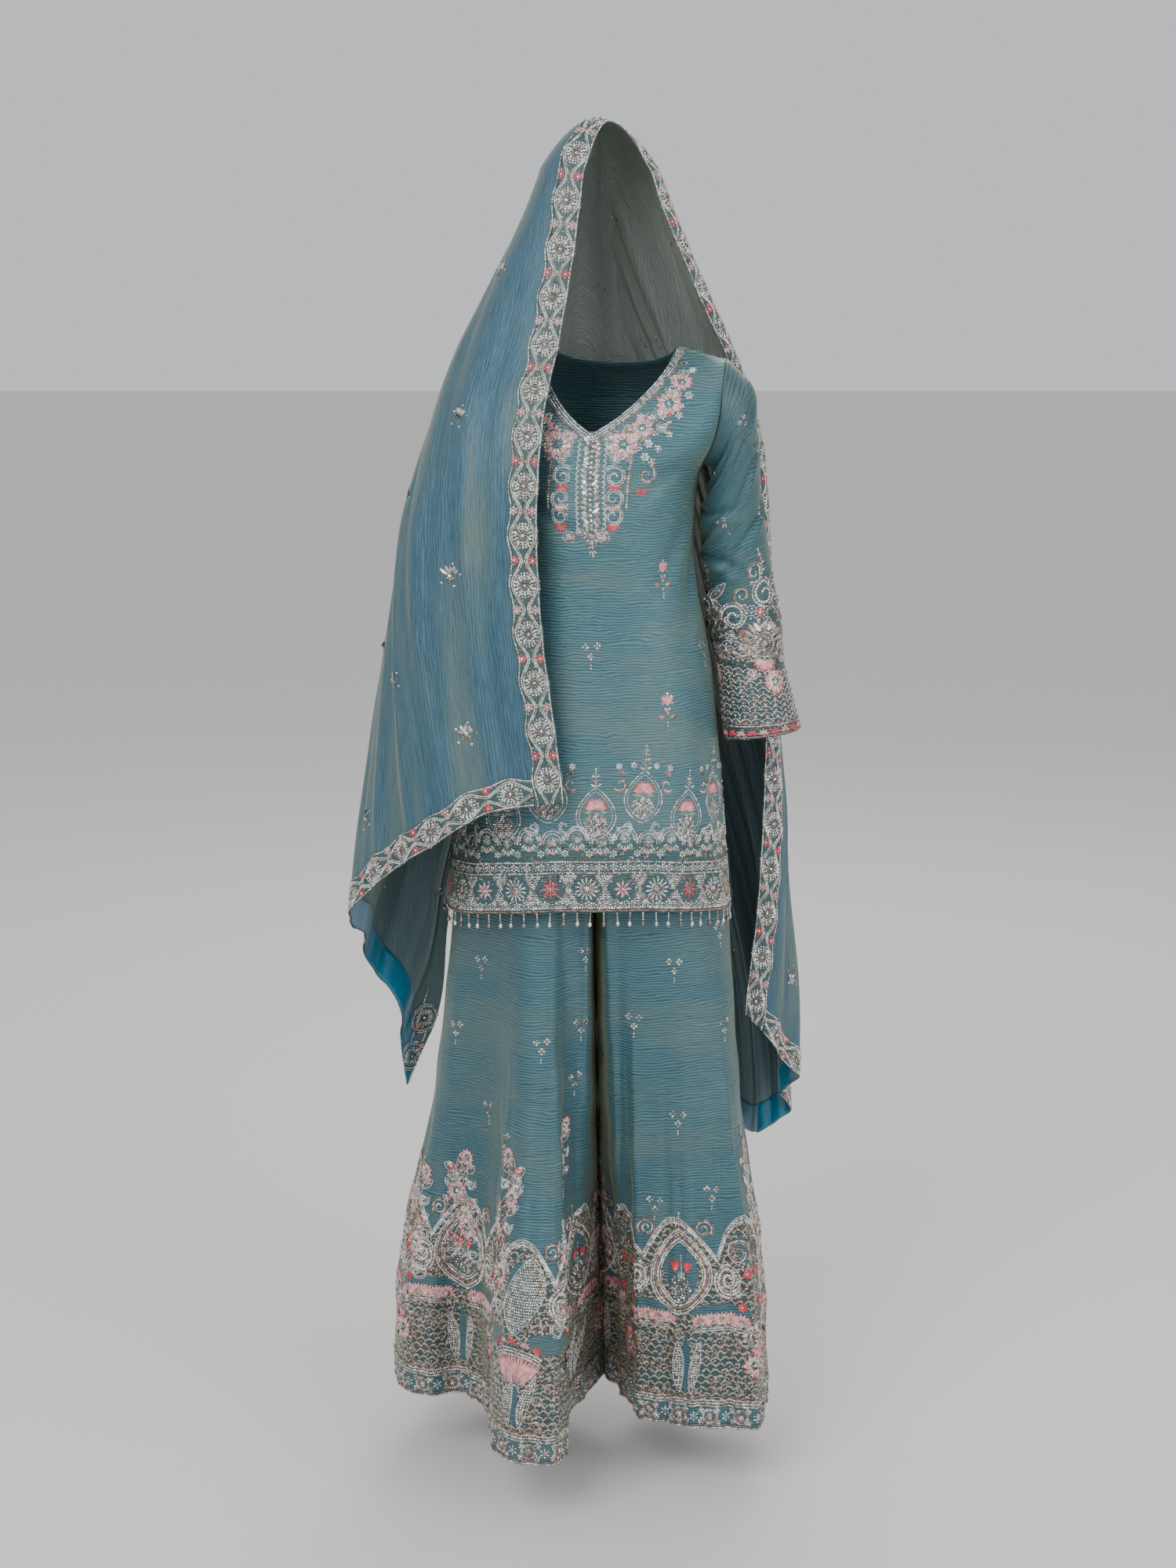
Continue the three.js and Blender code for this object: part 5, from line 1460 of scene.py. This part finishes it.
def kurti_hem_work(work, cloth, reach):
    centres = [5 + 61.5 * k for k in range(-4, 5)]
    high = [(u, 148, 0, 1) for u in centres[1::2]]
    low = [(u, 126, 0, 1) for u in centres[0::2]]
    work.lay(cloth, ogee(50, 66), high + low)
    work.lay(cloth, moved(finial(30), 0, 34), high)
    work.lay(cloth, moved(finial(22), 0, 34), low)
    beside = join(
        moved(scroll(9, 0.9), 31, 16),
        moved(WHITE_FLOWER, 34, 38),
        moved(WHITE_FLOWER, 15, 40),
        moved(bud(7, "rose"), 30, 28),
    )
    work.lay(cloth, both_ways(beside), high)
    work.lay(cloth, both_ways(moved(scroll(9, 1.0, ("white", "white")), 21, -38)), high)
    arch = join(
        on_path(arc(15, 17, 0, 180), "silver", 3.0, 3.4, 3.0, 1.5),
        on_path(arc(11.5, 13, 0, 180), "white", 2.8, 3.0, 2.0, 1.2),
        moved(burst(6.5), 0, 3),
        both_ways(moved(petals(0, 9, 3, "green", 2.2, sweep=70), 6, -13, -35)),
        petals(6, 14, 5, "white", 2.2, start=-90, sweep=100),
        moved(petals(0, 7, 3, "pink", 2.6, sweep=80), 0, -14),
    )
    arches = np.arange(reach[0] + 20, reach[-1] - 12, 30.75)
    work.lay(cloth, arch, [(u, 88 + 5 * (n % 2), 0, 1) for n, u in enumerate(arches)])
    work.lay(cloth, moved(SMALL_FLOWER, size=1.3), [(u + 15.4, 96, 0, 1) for u in arches])
    work.lay(cloth, moved(WHITE_FLOWER, size=1.2), [(u + 15.4, 76, 0, 1) for u in arches])
    for up, kind, long, wide in KURTI_HEM_LINES:
        work.run(cloth, reach, up, kind, long - 0.1, long, wide, 1.5)
    flowers = np.arange(reach[0] + 5, reach[-1] - 3, 9.2)
    for n, u in enumerate(flowers):
        head = moved((WHITE_FLOWER, SMALL_FLOWER)[n % 2], size=1.35)
        work.lay(cloth, head, [(u, 58, 0, 1), (u + 4, 10, 0, 1)])
    cluster = join(*[moved(SMALL_FLOWER, x, y, size=1.1) for x, y in CLUSTER_PLACES])
    for n, u in enumerate(np.arange(reach[0] + 16, reach[-1] - 10, 23)):
        motif = (star(12.5, "red"), starburst(15.5), star(12.5, "pink"), starburst(15.5))[n // 2 % 4]
        if n % 2:
            work.lay(cloth, cluster, [(u, 46, 0, 1), (u, 15, 180, 1)])
        else:
            work.lay(cloth, motif, [(u, 30, 0, 1)])


heights, above_hem = np.linspace(-728, 0, 260), np.linspace(0, 260, 120)
for facing, name in ((-1, "kurti_front"), (1, "kurti_back")):
    grid = kurti_grid(facing, *KURTI_GRID)
    uv = uv_of(arc_lengths(grid, KURTI_GRID[1] // 2), -grid[..., 2])
    piece = dress(shell(f"{name}_cloth", grid, uv, -facing, SILK_THICK, [KURTI_SILK]), "kurti_silk", name)
    work = Stitches()
    body = kurti_cloth(facing, heights, heights[:, None])
    lower = kurti_cloth(facing, above_hem, kurti_hem(MAP_ANGLES)[None, :] + above_hem[:, None])
    neck_work(work, body, facing)
    kurti_hem_work(work, lower, np.linspace(lower.u[0, 2], lower.u[0, -3], 200))
    work.lay(body, SPRIG, [(u, v, 0, 1.7) for u, v in KURTI_SPRIGS])
    work.lay(body, BUTTI, [(u, v, 0, 1.6) for u, v in KURTI_BUTTIS])
    stitches = stitched(work, f"{name}_embroidery")


# Sleeves: cloth, scattered buttis, scroll clusters and scale lattice down to the cuff
def floral(size):
    """A big sequinned flower head with a leafy curl at each side."""
    return join(
        burst(size * 0.55),
        petals(size * 0.5, size, 11, "silver", size * 0.3, sweep=200),
        petals(size * 0.62, size * 1.05, 8, "rose", size * 0.16, sweep=190),
        both_ways(join(
            moved(scroll(size * 0.42, 1.0), size * 0.85, -size * 0.2),
            on_path(arc(size, size * 0.7, 250, 340, 0, size * 0.2), "silver", 2.4, 2.6, 2),
        )),
        moved(fan(size * 0.5), 0, -size * 0.62, 180),
    )


def leafy(high, wide, kinds=("silver", "rose")):
    """A long leaf filled with beads, from its foot at 0 up to its point."""
    t = np.linspace(0, 1, 24)
    edge = np.stack([wide / 2 * np.sin(math.pi * t) ** 0.8, high * t], axis=1)
    rows = [both_ways(on_path(edge, "white", 2.8, 3, 1.6))]
    for m, y in enumerate(np.arange(4, high - 3, 3.4)):
        reach = wide / 2 * math.sin(math.pi * y / high) ** 0.8 - 2
        for n, x in enumerate(np.arange(-reach, reach + 0.1, 3.3)):
            rows.append(stitch(x, y, 0, kinds[(n + m) % len(kinds)], 2.9, 2.9, 1.3))
    return join(*rows)


def sleeve_work(work, cloth):
    low, high = cloth.u.min(axis=1).max() + 2, cloth.u.max(axis=1).min() - 2
    full = high - low
    cells, buds = round(full / 14.5), round(full / 15)
    wide = full / cells
    for r in range(9):
        row = [(low + (n + 0.5) * wide, 19 + r * wide * 0.55, 0, 1) for n in range(cells)]
        work.lay(cloth, scale_cell(wide), row)
    for n in range(buds):
        work.lay(cloth, bud(8, ("red", "pink")[n % 2]), [(low + (n + 0.5) * full / buds, 5, 0, 1)])
    for up, kind in ((2.5, "rose"), (15.5, "silver"), (18, "rose")):
        work.run(cloth, np.linspace(low, high, 120), up, kind, 2.7, 2.8, 2.2)
    for n in range(3):
        u = -28 + n * full / 3
        u = u if u < high else u - full
        work.lay(cloth, pink_rosette(16), [(u, 75, 0, 1)])
        work.lay(cloth, floral(34), [(u + 8, 122, 0, 1)])
        curls = join(
            scroll(20, 1.5, PALE),
            moved(scroll(14, 1.4), 21, 26, 140),
            moved(leafy(34, 12), -14, 10, 35),
            moved(scroll(10, 1.3, ROSY), -24, -8, 60),
        )
        work.lay(cloth, curls, [(u - 4, 180, 20, 1)])
        work.lay(cloth, moved(curls, flip=True), [(u + 44, 158, -10, 0.85)])
        work.lay(cloth, lattice(13, 5, 5), [(u + 46, 98, 0, 1)])
        work.lay(cloth, lattice(12, 4, 3), [(u + 16, 152, 12, 1)])
        work.lay(cloth, flower(6, "red", 7), [(u + 8, 160, 0, 1), (u + 34, 136, 0, 1)])
        work.lay(cloth, join(finial(34), bead("silver", 3, 0, -3)), [(u - 8, 205, 0, 1)])
        work.lay(cloth, burst(7), [(u + 52, 132, 0, 1), (u - 24, 104, 0, 1), (u + 30, 82, 0, 1)])
    for n in range(4):
        u = low + 18 + n * full / 4
        work.lay(cloth, BUTTI, [(u, 292 - n % 2 * 20, 0, 1), (u + 32, 395, 0, 1)])


for side, name in ((1, "sleeve_left"), (-1, "sleeve_right")):
    cloth = sleeve_cloth(side, *SLEEVE_GRID)
    piece = shell(f"{name}_cloth", cloth.points, cloth.map(), cloth.outward, SILK_THICK, [SLEEVE_SILK], True)
    dress(piece, "kurti_silk", name)
    work = Stitches()
    sleeve_work(work, cloth)
    stitches = stitched(work, f"{name}_embroidery")


# Palazzo: cloth, tall floral columns, medallions, scale lattice and flower hem
def pleat_fan():
    """A pink fan of long rays under a row of buds, with a bead-filled leaf above it."""
    rays = join(petals(16, 56, 15, "pink", 3.4, sweep=80), petals(30, 56, 14, "pink", 3.0, sweep=75))
    rims = [on_path(arc(radius, radius, 52, 128), kind, 2.6, 3.0, 2.6, 1.5)
            for radius, kind in ((15, "silver"), (54, "white"), (58, "sequin"), (62, "silver"))]
    buds = [moved(bud(8, kind), 68 * math.sin(turn), 68 * math.cos(turn), -math.degrees(turn))
            for turn, kind in zip(np.radians((-28, -14, 0, 14, 28)), ("red", "pink", "red", "pink", "red"))]
    return join(rays, *rims, *buds, moved(leafy(100, 54, ("silver", "sequin")), 0, 78))


def hem_unit(work, cloth, centre, fan_here):
    """One repeat of the palazzo's border; centre gives u for a height."""
    def put(motif, shift, up, lift=0.6, turn=0.0):
        work.lay(cloth, motif, [(centre(up) + shift, up, turn, 1)], lift=lift)

    if fan_here:
        put(pleat_fan(), 0, 90)
    else:
        put(medallion(78, 104), 0, 214)
    for side in (-1, 1):
        if not fan_here:
            put(moved(crest(74), flip=side < 0), side * 52, 140, 0.5)
        curls = join(scroll(21, 1.9, PALE), moved(scroll(15, 1.5, ("white", "rose")), -2, 1))
        put(moved(curls, flip=side < 0), side * 66, 204)
        put(moved(scroll(15, 1.6, ROSY), flip=side > 0), side * 84, 240)
        put(moved(scroll(12, 1.6), flip=side > 0), side * 40, 272)
        if not fan_here:
            put(join(pink_rosette(17), petals(6, 20, 12, "silver", 3)), side * 97, 90)
        put(flower(7, "red", 8), side * 84, 168, 0.5)
        put(flower(7, "red", 8), side * 92, 212, 0.5)
        put(moved(leafy(72, 15, PALE), flip=side < 0), side * 8, 48, 0.4, side * -7)
        put(floral(22), side * 99, 128, 0.5)


# Outlines of a medallion, one in another: share of its size, kind and width
MEDALLION_BANDS = [
    (1.12, "white", 2.6), (1.04, "silver", 3.2), (0.96, "rose", 2.8), (0.88, "sequin", 3.0),
    (0.8, "silver", 2.4),
]


def medallion(wide, high):
    """A pointed medallion: a broad beaded outline, a pair of coral fans and a sequinned foot."""
    bands = []
    for share, kind, size in MEDALLION_BANDS:
        bands.append(both_ways(on_path(drop_outline(wide, high) * share, kind, 2.7, 3.2, size, 1.5)))
    hearts = both_ways(join(
        moved(petals(0, 16, 5, "red", 4.4, sweep=44), 8, 0, -6),
        moved(petals(1, 8, 3, "pink", 3.2, sweep=30), 8, 0, -6),
        moved(petals(0, 11, 3, "green", 2.6, sweep=60), 6, 0, 118),
    ))
    foot = scattered(15, 17, 4.4, ("sequin", "rose", "silver"), -21, 3.6)
    return join(*bands, hearts, foot, on_path([(0, -6), (0, 24)], "silver", 3, 3, 2),
                moved(finial(high * 0.26), 0, high * 0.5))


def crest(wide):
    """A pink scalloped crest with sequinned hearts that caps a lattice basket."""
    places = np.linspace(-wide / 2 + 9, wide / 2 - 9, 5)
    rises = 3 + 5 * np.cos(places * math.pi / wide)
    lobes = [moved(petals(5, 15, 9, "pink", 4.6, sweep=190), x, y) for x, y in zip(places, rises)]
    hearts = [moved(burst(6), x, y + 2) for x, y in zip(places, rises)]
    rim = join(on_path([(-wide / 2, -3), (0, 1), (wide / 2, -3)], "silver", 2.6, 2.8, 2.6),
               on_path([(-wide / 2, -6), (0, -2), (wide / 2, -6)], "white", 2.8, 3, 2))
    return join(*lobes, rim, *hearts)


def column(high):
    """A tall floral column: leaves, flowers and curls one above another."""
    parts = []
    for n, up in enumerate(np.arange(0, high, 50)):
        size = 1 - 0.35 * up / high
        parts.append(moved(leafy(50, 26 * size), 0, up))
        parts.append(both_ways(moved(scroll(12 * size, 1.1, PALE), 21 * size, up + 8)))
        parts.append(both_ways(moved(leafy(30 * size, 11, ROSY), 8, up + 22, -50)))
        parts.append(both_ways(moved(leafy(24 * size, 10, PALE), 5, up + 4, -72)))
        parts.append(moved(starburst(13 * size), (-13, 13)[n % 2], up + 18))
        parts.append(moved(pink_rosette(17 * size), (9, -9)[n % 2], up + 44))
        parts.append(both_ways(moved(WHITE_FLOWER, 25 * size, up + 33)))
        parts.append(moved(flower(6, "red", 7), (-14, 14)[n % 2], up + 30))
    parts.append(moved(finial(30), 0, high))
    return join(*parts)


# Lines above the palazzo's hem: height, kind and size
PALAZZO_HEM_LINES = [
    (1.5, "silver", 3.2), (4.5, "rose", 2.6), (31, "silver", 2.8), (35, "sequin", 3.2), (39, "silver", 3),
    (43, "rose", 2.6),
]


def palazzo_work(work, cloth, repeats, phase, columns):
    for up, kind, size in PALAZZO_HEM_LINES:
        across = np.linspace(2, cloth.width(up) - 2, 240)
        work.run(cloth, across, up, kind, size - 0.1, size + 0.2, size * 0.85, 1.3)
    widths = np.array([cloth.width(up) for up in range(0, 320, 4)])
    share = np.linspace(0.004, 0.996, 340)
    wave = np.abs(np.cos(2 * math.pi * ((share * repeats + phase) % 1 - 0.5)))
    scallop = PALAZZO_TOP + PALAZZO_SCALLOP * wave
    for shift, kind, wide in ((0, "silver", 3.2), (-3.4, "sequin", 3.2), (3.2, "white", 2.2)):
        across = share * np.interp(scallop + shift, np.arange(0, 320, 4), widths)
        work.run(cloth, across, scallop + shift, kind, 3.0, 3.2, wide, 1.5)
    heads = [
        join(burst(10.5), petals(6, 12, 10, "rose", 2.6)),
        join(moved(WHITE_FLOWER, size=1.9), SMALL_FLOWER),
    ]
    count = round(cloth.width(0) / 22)
    for n in range(count):
        u = (n + 0.5) * cloth.width(18) / count
        work.lay(cloth, heads[n % 2], [(u, 17, 0, 1)], lift=0.4)
        work.lay(cloth, SMALL_FLOWER, [(u + 12, 10, 0, 1.2), (u + 12, 25, 0, 1.2)])
    for k in range(-1, repeats + 2):
        place = (k + 0.5 - phase) / repeats
        if -0.2 < place < 1.2:
            fan_here = repeats == 3 and k == 1
            hem_unit(work, cloth, lambda up, place=place: place * cloth.width(up), fan_here)
    for top, bottom, foot, high in columns:
        u = mix(bottom, top, 0.7) * cloth.width(foot)
        work.lay(cloth, column(high), [(u, foot, 0, 1)], lift=0.5)


# Whole repeats across a panel, and the share of one by which they are shifted
PALAZZO_REPEATS = {-1: (3, 0.0), 1: (2, 0.5)}
# Columns: place as a share of the width at the top and at the hem, height of the foot, own height
PALAZZO_COLUMNS = {
    (-1, -1): [(0.03, 0.02, 170, 130), (0.17, 0.15, 200, 110), (0.42, 0.38, 190, 170), (0.64, 0.6, 170, 210),
               (0.93, 0.9, 170, 150)],
    (-1, 1): [(0.03, 0.03, 180, 130), (0.34, 0.34, 190, 150), (0.67, 0.67, 190, 150), (0.97, 0.97, 180, 160)],
    (1, -1): [(0.1, 0.12, 170, 200), (0.97, 0.97, 170, 190)],
    (1, 1): [(0.04, 0.04, 180, 180), (0.5, 0.5, 200, 150), (0.96, 0.96, 180, 180)],
}
PALAZZO_BUTTIS = {
    (-1, -1): [(77, 616), (207, 529), (277, 543), (107, 420), (300, 470), (180, 400), (250, 640), (40, 520)],
    (-1, 1): [(80, 600), (200, 520), (300, 590), (110, 440), (260, 420)],
    (1, -1): [(135, 623), (195, 551), (287, 486), (71, 536), (156, 420), (222, 304), (137, 319), (60, 660)],
    (1, 1): [(80, 600), (180, 520), (260, 600), (120, 430), (230, 400)],
}


for side, side_name in ((-1, "right"), (1, "left")):
    for facing, facing_name in ((-1, "front"), (1, "back")):
        name = f"palazzo_{side_name}_{facing_name}"
        cloth = palazzo_cloth(side, facing, *PALAZZO_GRID)
        piece = shell(f"{name}_cloth", cloth.points, cloth.map(), cloth.outward, SILK_THICK, [PALAZZO_SILK])
        dress(piece, "palazzo_silk", *[f"{name}_{part}" for part in ("hip", "knee", "hem")])
        repeats, phase = PALAZZO_REPEATS[side]
        share = cloth.u / cloth.u[:, -1:]
        add_map(piece, "repeat", uv_of(share * repeats + phase, cloth.v[:, None]))
        work = Stitches()
        palazzo_work(work, cloth, repeats, phase, PALAZZO_COLUMNS[side, facing])
        work.lay(cloth, BUTTI, [(u, v, 0, 1.5) for u, v in PALAZZO_BUTTIS[side, facing]])
        stitches = stitched(work, f"{name}_embroidery")


# Dupatta: one veil from end to end over the head, as a grid of both halves
def veil_cloth(rows, columns):
    halves = {side: HalfVeil(side) for side in (-1, 1)}
    s = np.linspace(0, 1, rows)
    places = np.repeat(np.linspace(0, 1, columns)[None, :], rows, 0)
    right, right_u = halves[-1].at(s, places)
    left, left_u = halves[1].at(s, places)
    v = np.concatenate([s * halves[-1].length, halves[-1].length + s[1:] * halves[1].length])
    return Cloth(np.concatenate([right, left[-2::-1]]), np.concatenate([right_u, left_u[-2::-1]]), v, 1)


def edge_lane(cloth, last_column):
    """The veil along one long edge: u is the distance in from it, v the length along it."""
    lane = cloth.flipped() if last_column else cloth
    return Cloth(lane.points, lane.u, path_lengths(lane.points[:, 0]), lane.outward)


def end_lane(cloth, last_row):
    """The veil along one end: u is the distance up from it, v the length along it."""
    rows = slice(-1, -20, -1) if last_row else slice(0, 19)
    points = np.swapaxes(cloth.points[rows], 0, 1)
    outward = cloth.outward if last_row else -cloth.outward
    return Cloth(points, arc_lengths(points, 0), path_lengths(points[:, 0]), outward)


def ogee_edge(v, wide, narrow):
    """The wavy edge of the chain of medallions at lengths v along it."""
    wave = 0.5 + 0.5 * np.cos(2 * math.pi * v / PITCH)
    return mix(narrow, wide, wave ** 0.8)


def border_medallion():
    """Spokes and rings of beads and sequins that fill one oval of the border."""
    rows = [bead("sequin", 4.4)]
    rings = ((3.9, 8, "rose"), (6.7, 12, "silver"), (9.4, 16, "sequin"), (12.2, 20, "silver"))
    for n, (radius, count, kind) in enumerate(rings):
        rows.append(moved(dots(radius, count, kind, 3.0, start=12 * n, squash=1.24, high=1.6)))
    rows.append(petals(4.5, 14.4, 10, "white", 1.8, squash=1.22))
    return join(*rows)


def border(name, lane, start, end, nodes):
    """A border strip on the veil: a scalloped ground, a chain of medallions and wavy outlines."""
    steps = max(2, round((end - start) / 4))
    v = np.linspace(start, end, steps)
    count = max(1, round((end - start) / PITCH))
    phase = (v - start) * count * PITCH / (end - start) - PITCH / 2
    scallop = 2.2 * np.cos(2 * math.pi * phase / PITCH)
    inward = np.linspace(0, 1, 7)[None, :]
    outer = -1.0 - np.maximum(0, scallop) * 0.6
    inner = 34.5 + scallop
    u = mix(outer[:, None], inner[:, None], inward)
    flat_u, flat_v = u.ravel(), np.repeat(v, 7)
    point, normal, step_u, _ = lane.frame(np.maximum(flat_u, 0), flat_v)
    point = point + step_u * np.minimum(flat_u, 0)[:, None]
    grid = (point + normal * 0.9).reshape(steps, 7, 3)
    ground = shell(f"{name}_ground", grid, uv_of(u, v[:, None]), lane.outward, TRIM_THICK, [BORDER_GROUND])
    dress(ground, "border_work", *nodes)
    work = Stitches()
    middle = 16.6
    for side in (-1, 1):
        for extra, kind, wide in ((1.3, "white", 2.4), (-1.2, "silver", 2.2)):
            reach = ogee_edge(phase, 14.6, 2.6) + extra
            work.run(lane, middle + side * reach, v, kind, 2.8, 3.1, wide, 1.7, lift=1.0)
    work.run(lane, np.maximum(0.2, outer + 1.6), v, "silver", 3.0, 3.4, 2.1, 1.3, lift=1.0)
    work.run(lane, inner - 1.2, v, "silver", 3.0, 3.4, 2.1, 1.3, lift=1.0)
    centres = start + (np.arange(count) + 0.5) * (end - start) / count
    work.lay(lane, border_medallion(), [(middle, c, 0, 1) for c in centres], lift=0.95, edge="v")
    necks = start + np.arange(1, count) * (end - start) / count
    for n, c in enumerate(necks):
        pair = flower(6.2, ("red", "pink")[n % 2], 6, "white")
        work.lay(lane, pair, [(middle - 11, c, 0, 1), (middle + 11.5, c, 0, 1)], lift=0.95, edge="v")
    return [ground, stitched(work, f"{name}_embroidery")]


def facing_strip(node, lane, start, end):
    """The satin strip inside an end of the veil."""
    v = np.linspace(start, end, 120)
    u = np.repeat(np.linspace(0.2, 40, 9)[None, :], 120, 0)
    point, normal, _, _ = lane.frame(u.ravel(), np.repeat(v, 9))
    grid = (point - normal * 1.3).reshape(120, 9, 3)
    strip = shell(f"{node}_cloth", grid, uv_of(u, v[:, None]), lane.outward, TRIM_THICK, [SATIN])
    return dress(strip, "satin_facing", node)


veil_map = veil_cloth(*VEIL_GRID)
veil = shell("dupatta_cloth", veil_map.points, veil_map.map(), 1, VEIL_THICK, [VEIL_OUTSIDE, VEIL_INSIDE])
dress(veil, "veil_tissue", "dupatta_right_fall", "dupatta_hood", "dupatta_left_fall")
face, back = edge_lane(veil_map, False), edge_lane(veil_map, True)
right_end, left_end = end_lane(veil_map, False), end_lane(veil_map, True)
trims = []
sides = ("right", "hood", "left")
trims += border("border_face", face, 0, face.v[-1], [f"border_face_{part}" for part in sides])
trims += border("border_back", back, 0, back.v[-1], [f"border_back_{part}" for part in sides])
for side_name, lane in (("right", right_end), ("left", left_end)):
    trims += border(f"border_end_{side_name}", lane, 36, lane.v[-1] - 36, [f"border_end_{side_name}"])
    trims.append(facing_strip(f"facing_end_{side_name}", lane, 1, lane.v[-1] - 1))
work = Stitches()
spots = []
for n, u in enumerate(np.arange(110, 760, 108)):
    for v in np.arange(90, veil_map.v[-1] - 100, 190) + 90 * (n % 2):
        if u < veil_map.width(v) - 60:
            spots.append((u, v, 0, 1.5))
work.lay(veil_map, VEIL_BUTTI, spots, lift=0.2)
trims.append(stitched(work, "dupatta_buttis"))
inside = Cloth(veil_map.points, veil_map.u, veil_map.v, -veil_map.outward)
work = Stitches()
corner = inside.width(24) - 21
oval = join(
    border_medallion(),
    on_path(arc(17, 21), "white", 2.8, 3.1, 2.4, 1.6),
    on_path(arc(20, 24), "silver", 2.8, 3.1, 2.2, 1.6),
)
work.lay(inside, oval, [(corner, 24, 0, 1), (corner, 70, 0, 1)], lift=2.3)
work.lay(inside, flower(6.5, "red", 6), [(corner - 14, 47, 0, 1), (corner + 13, 47, 0, 1)], lift=2.3)
for shift in (-19, 19):
    work.run(inside, corner + shift, np.linspace(3, 96, 60), "silver", 3, 3.4, 2.2, 1.6, lift=2.3)
trims.append(stitched(work, "corner_embroidery"))


# Waistband and bead drops
def waistband_grid():
    angles = np.radians(np.linspace(0, 360, 145))
    ruffle = 1.2 * np.sin(angles * 36)
    rows = []
    for up in np.linspace(0, WAISTBAND_HEIGHT, 7):
        left, right = HIPS["left"][0], HIPS["right"][0]
        depth = np.where(np.cos(angles) > 0, HIPS["front"][0], HIPS["back"][0])
        x = (left + right) / 2 + ((right - left) / 2 - 0.5 + ruffle) * np.sin(angles)
        y = -(depth - 0.5 + ruffle) * np.cos(angles)
        rows.append(stack(x, y, WAIST + up))
    return np.stack(rows)


grid = waistband_grid()
uv = uv_of(arc_lengths(grid, 0), np.linspace(0, WAISTBAND_HEIGHT, 7)[:, None])
band = shell("waistband_cloth", grid, uv, 1, SILK_THICK, [BAND_SILK], closed=True)
dress(band, "palazzo_silk", "palazzo_waistband")


# A strand's beads: distance down from the hem, radius and half its height
STRAND = [(1.5, 1.5, 1.6), (4.4, 1.1, 1.6), (7.2, 1.1, 1.6), (10, 1.3, 1.6), (15.4, 2.7, 4.4)]


def bead_drops(name, facing, node):
    """Strands under the kurti's hem: a thread of small beads and a faceted drop on each."""
    angles = np.linspace(-86, 86, 400)
    hem = kurti_surface(facing, angles, kurti_hem(angles))
    lengths = path_lengths(hem)
    roots = sampled(np.arange(8.5, lengths[-1], 17.0), lengths, hem)
    parts = []
    for n, root in enumerate(roots):
        swing = 0.05 * math.sin(2.1 * n)
        for drop, radius, tall in STRAND:
            parts.append((root + np.array([swing * drop, -0.2 * facing, -drop]), radius, tall))
    profile = np.array([(0, 1), (0.62, 0.55), (1, 0.1), (0.72, -0.5), (0, -1)])
    turns = np.arange(8) * math.pi / 4
    ring = np.stack([np.outer(profile[:, 0], np.cos(turns)), np.outer(profile[:, 0], np.sin(turns)),
                     np.repeat(profile[:, 1:], 8, 1)], axis=-1)
    vertices, faces, materials = [], [], []
    for n, (centre, radius, tall) in enumerate(parts):
        first = len(vertices) * 40
        vertices.append((centre + ring * np.array([radius, radius, tall])).reshape(-1, 3))
        for r in range(4):
            for c in range(8):
                a, b = first + r * 8 + c, first + r * 8 + (c + 1) % 8
                faces.append((a, b, b + 8, a + 8))
        materials += [(2 if n // 5 % 3 == 0 else 0) if radius > 2 else 1] * 32
    mesh = new_mesh(name, np.concatenate(vertices), faces, None,
                    [BEAD_MATERIALS[kind] for kind in ("sequin", "silver", "rose")], materials)
    return dress(mesh, "bead_drops", node)


bead_drops("front_drops", -1, "front_bead_drops")
bead_drops("back_drops", 1, "back_bead_drops")


# Studio, in metres: the floor lies where the figure's stand would rest
FLOOR_SIZE, FLOOR_DROP = 90, 0.09
# Lamps: place, size and power
LAMPS = {
    "key": ((-1.6, -3.0, 2.0), 2.2, 95),
    "fill": ((2.6, -2.4, 0.8), 2.4, 55),
    "back": ((0.4, 3.0, 2.2), 2.2, 60),
}
LAMPS_AIM = Vector((0, 0, -0.6))


def studio():
    bpy.ops.mesh.primitive_plane_add(size=FLOOR_SIZE, location=(0, 0, cad_box[0][2] - FLOOR_DROP))
    floor = bpy.context.object
    floor.name = "floor"
    ground = Nodes("floor")
    ground.set(Base_Color=rgb(222, 220, 216), Roughness=0.8)
    floor.data.materials.append(ground.material)
    world = bpy.data.worlds.new("studio")
    bpy.context.scene.world = world
    world.use_nodes = True
    sky = world.node_tree.nodes["Background"]
    sky.inputs["Color"].default_value = (0.93, 0.95, 1.0, 1.0)
    sky.inputs["Strength"].default_value = 0.75
    for name, (place, size, power) in LAMPS.items():
        light = bpy.data.lights.new(name, "AREA")
        light.energy = power
        light.size = size
        lamp = bpy.data.objects.new(name, light)
        lamp.location = place
        lamp.rotation_euler = (LAMPS_AIM - Vector(place)).to_track_quat("-Z", "Y").to_euler()
        bpy.context.scene.collection.objects.link(lamp)


studio()
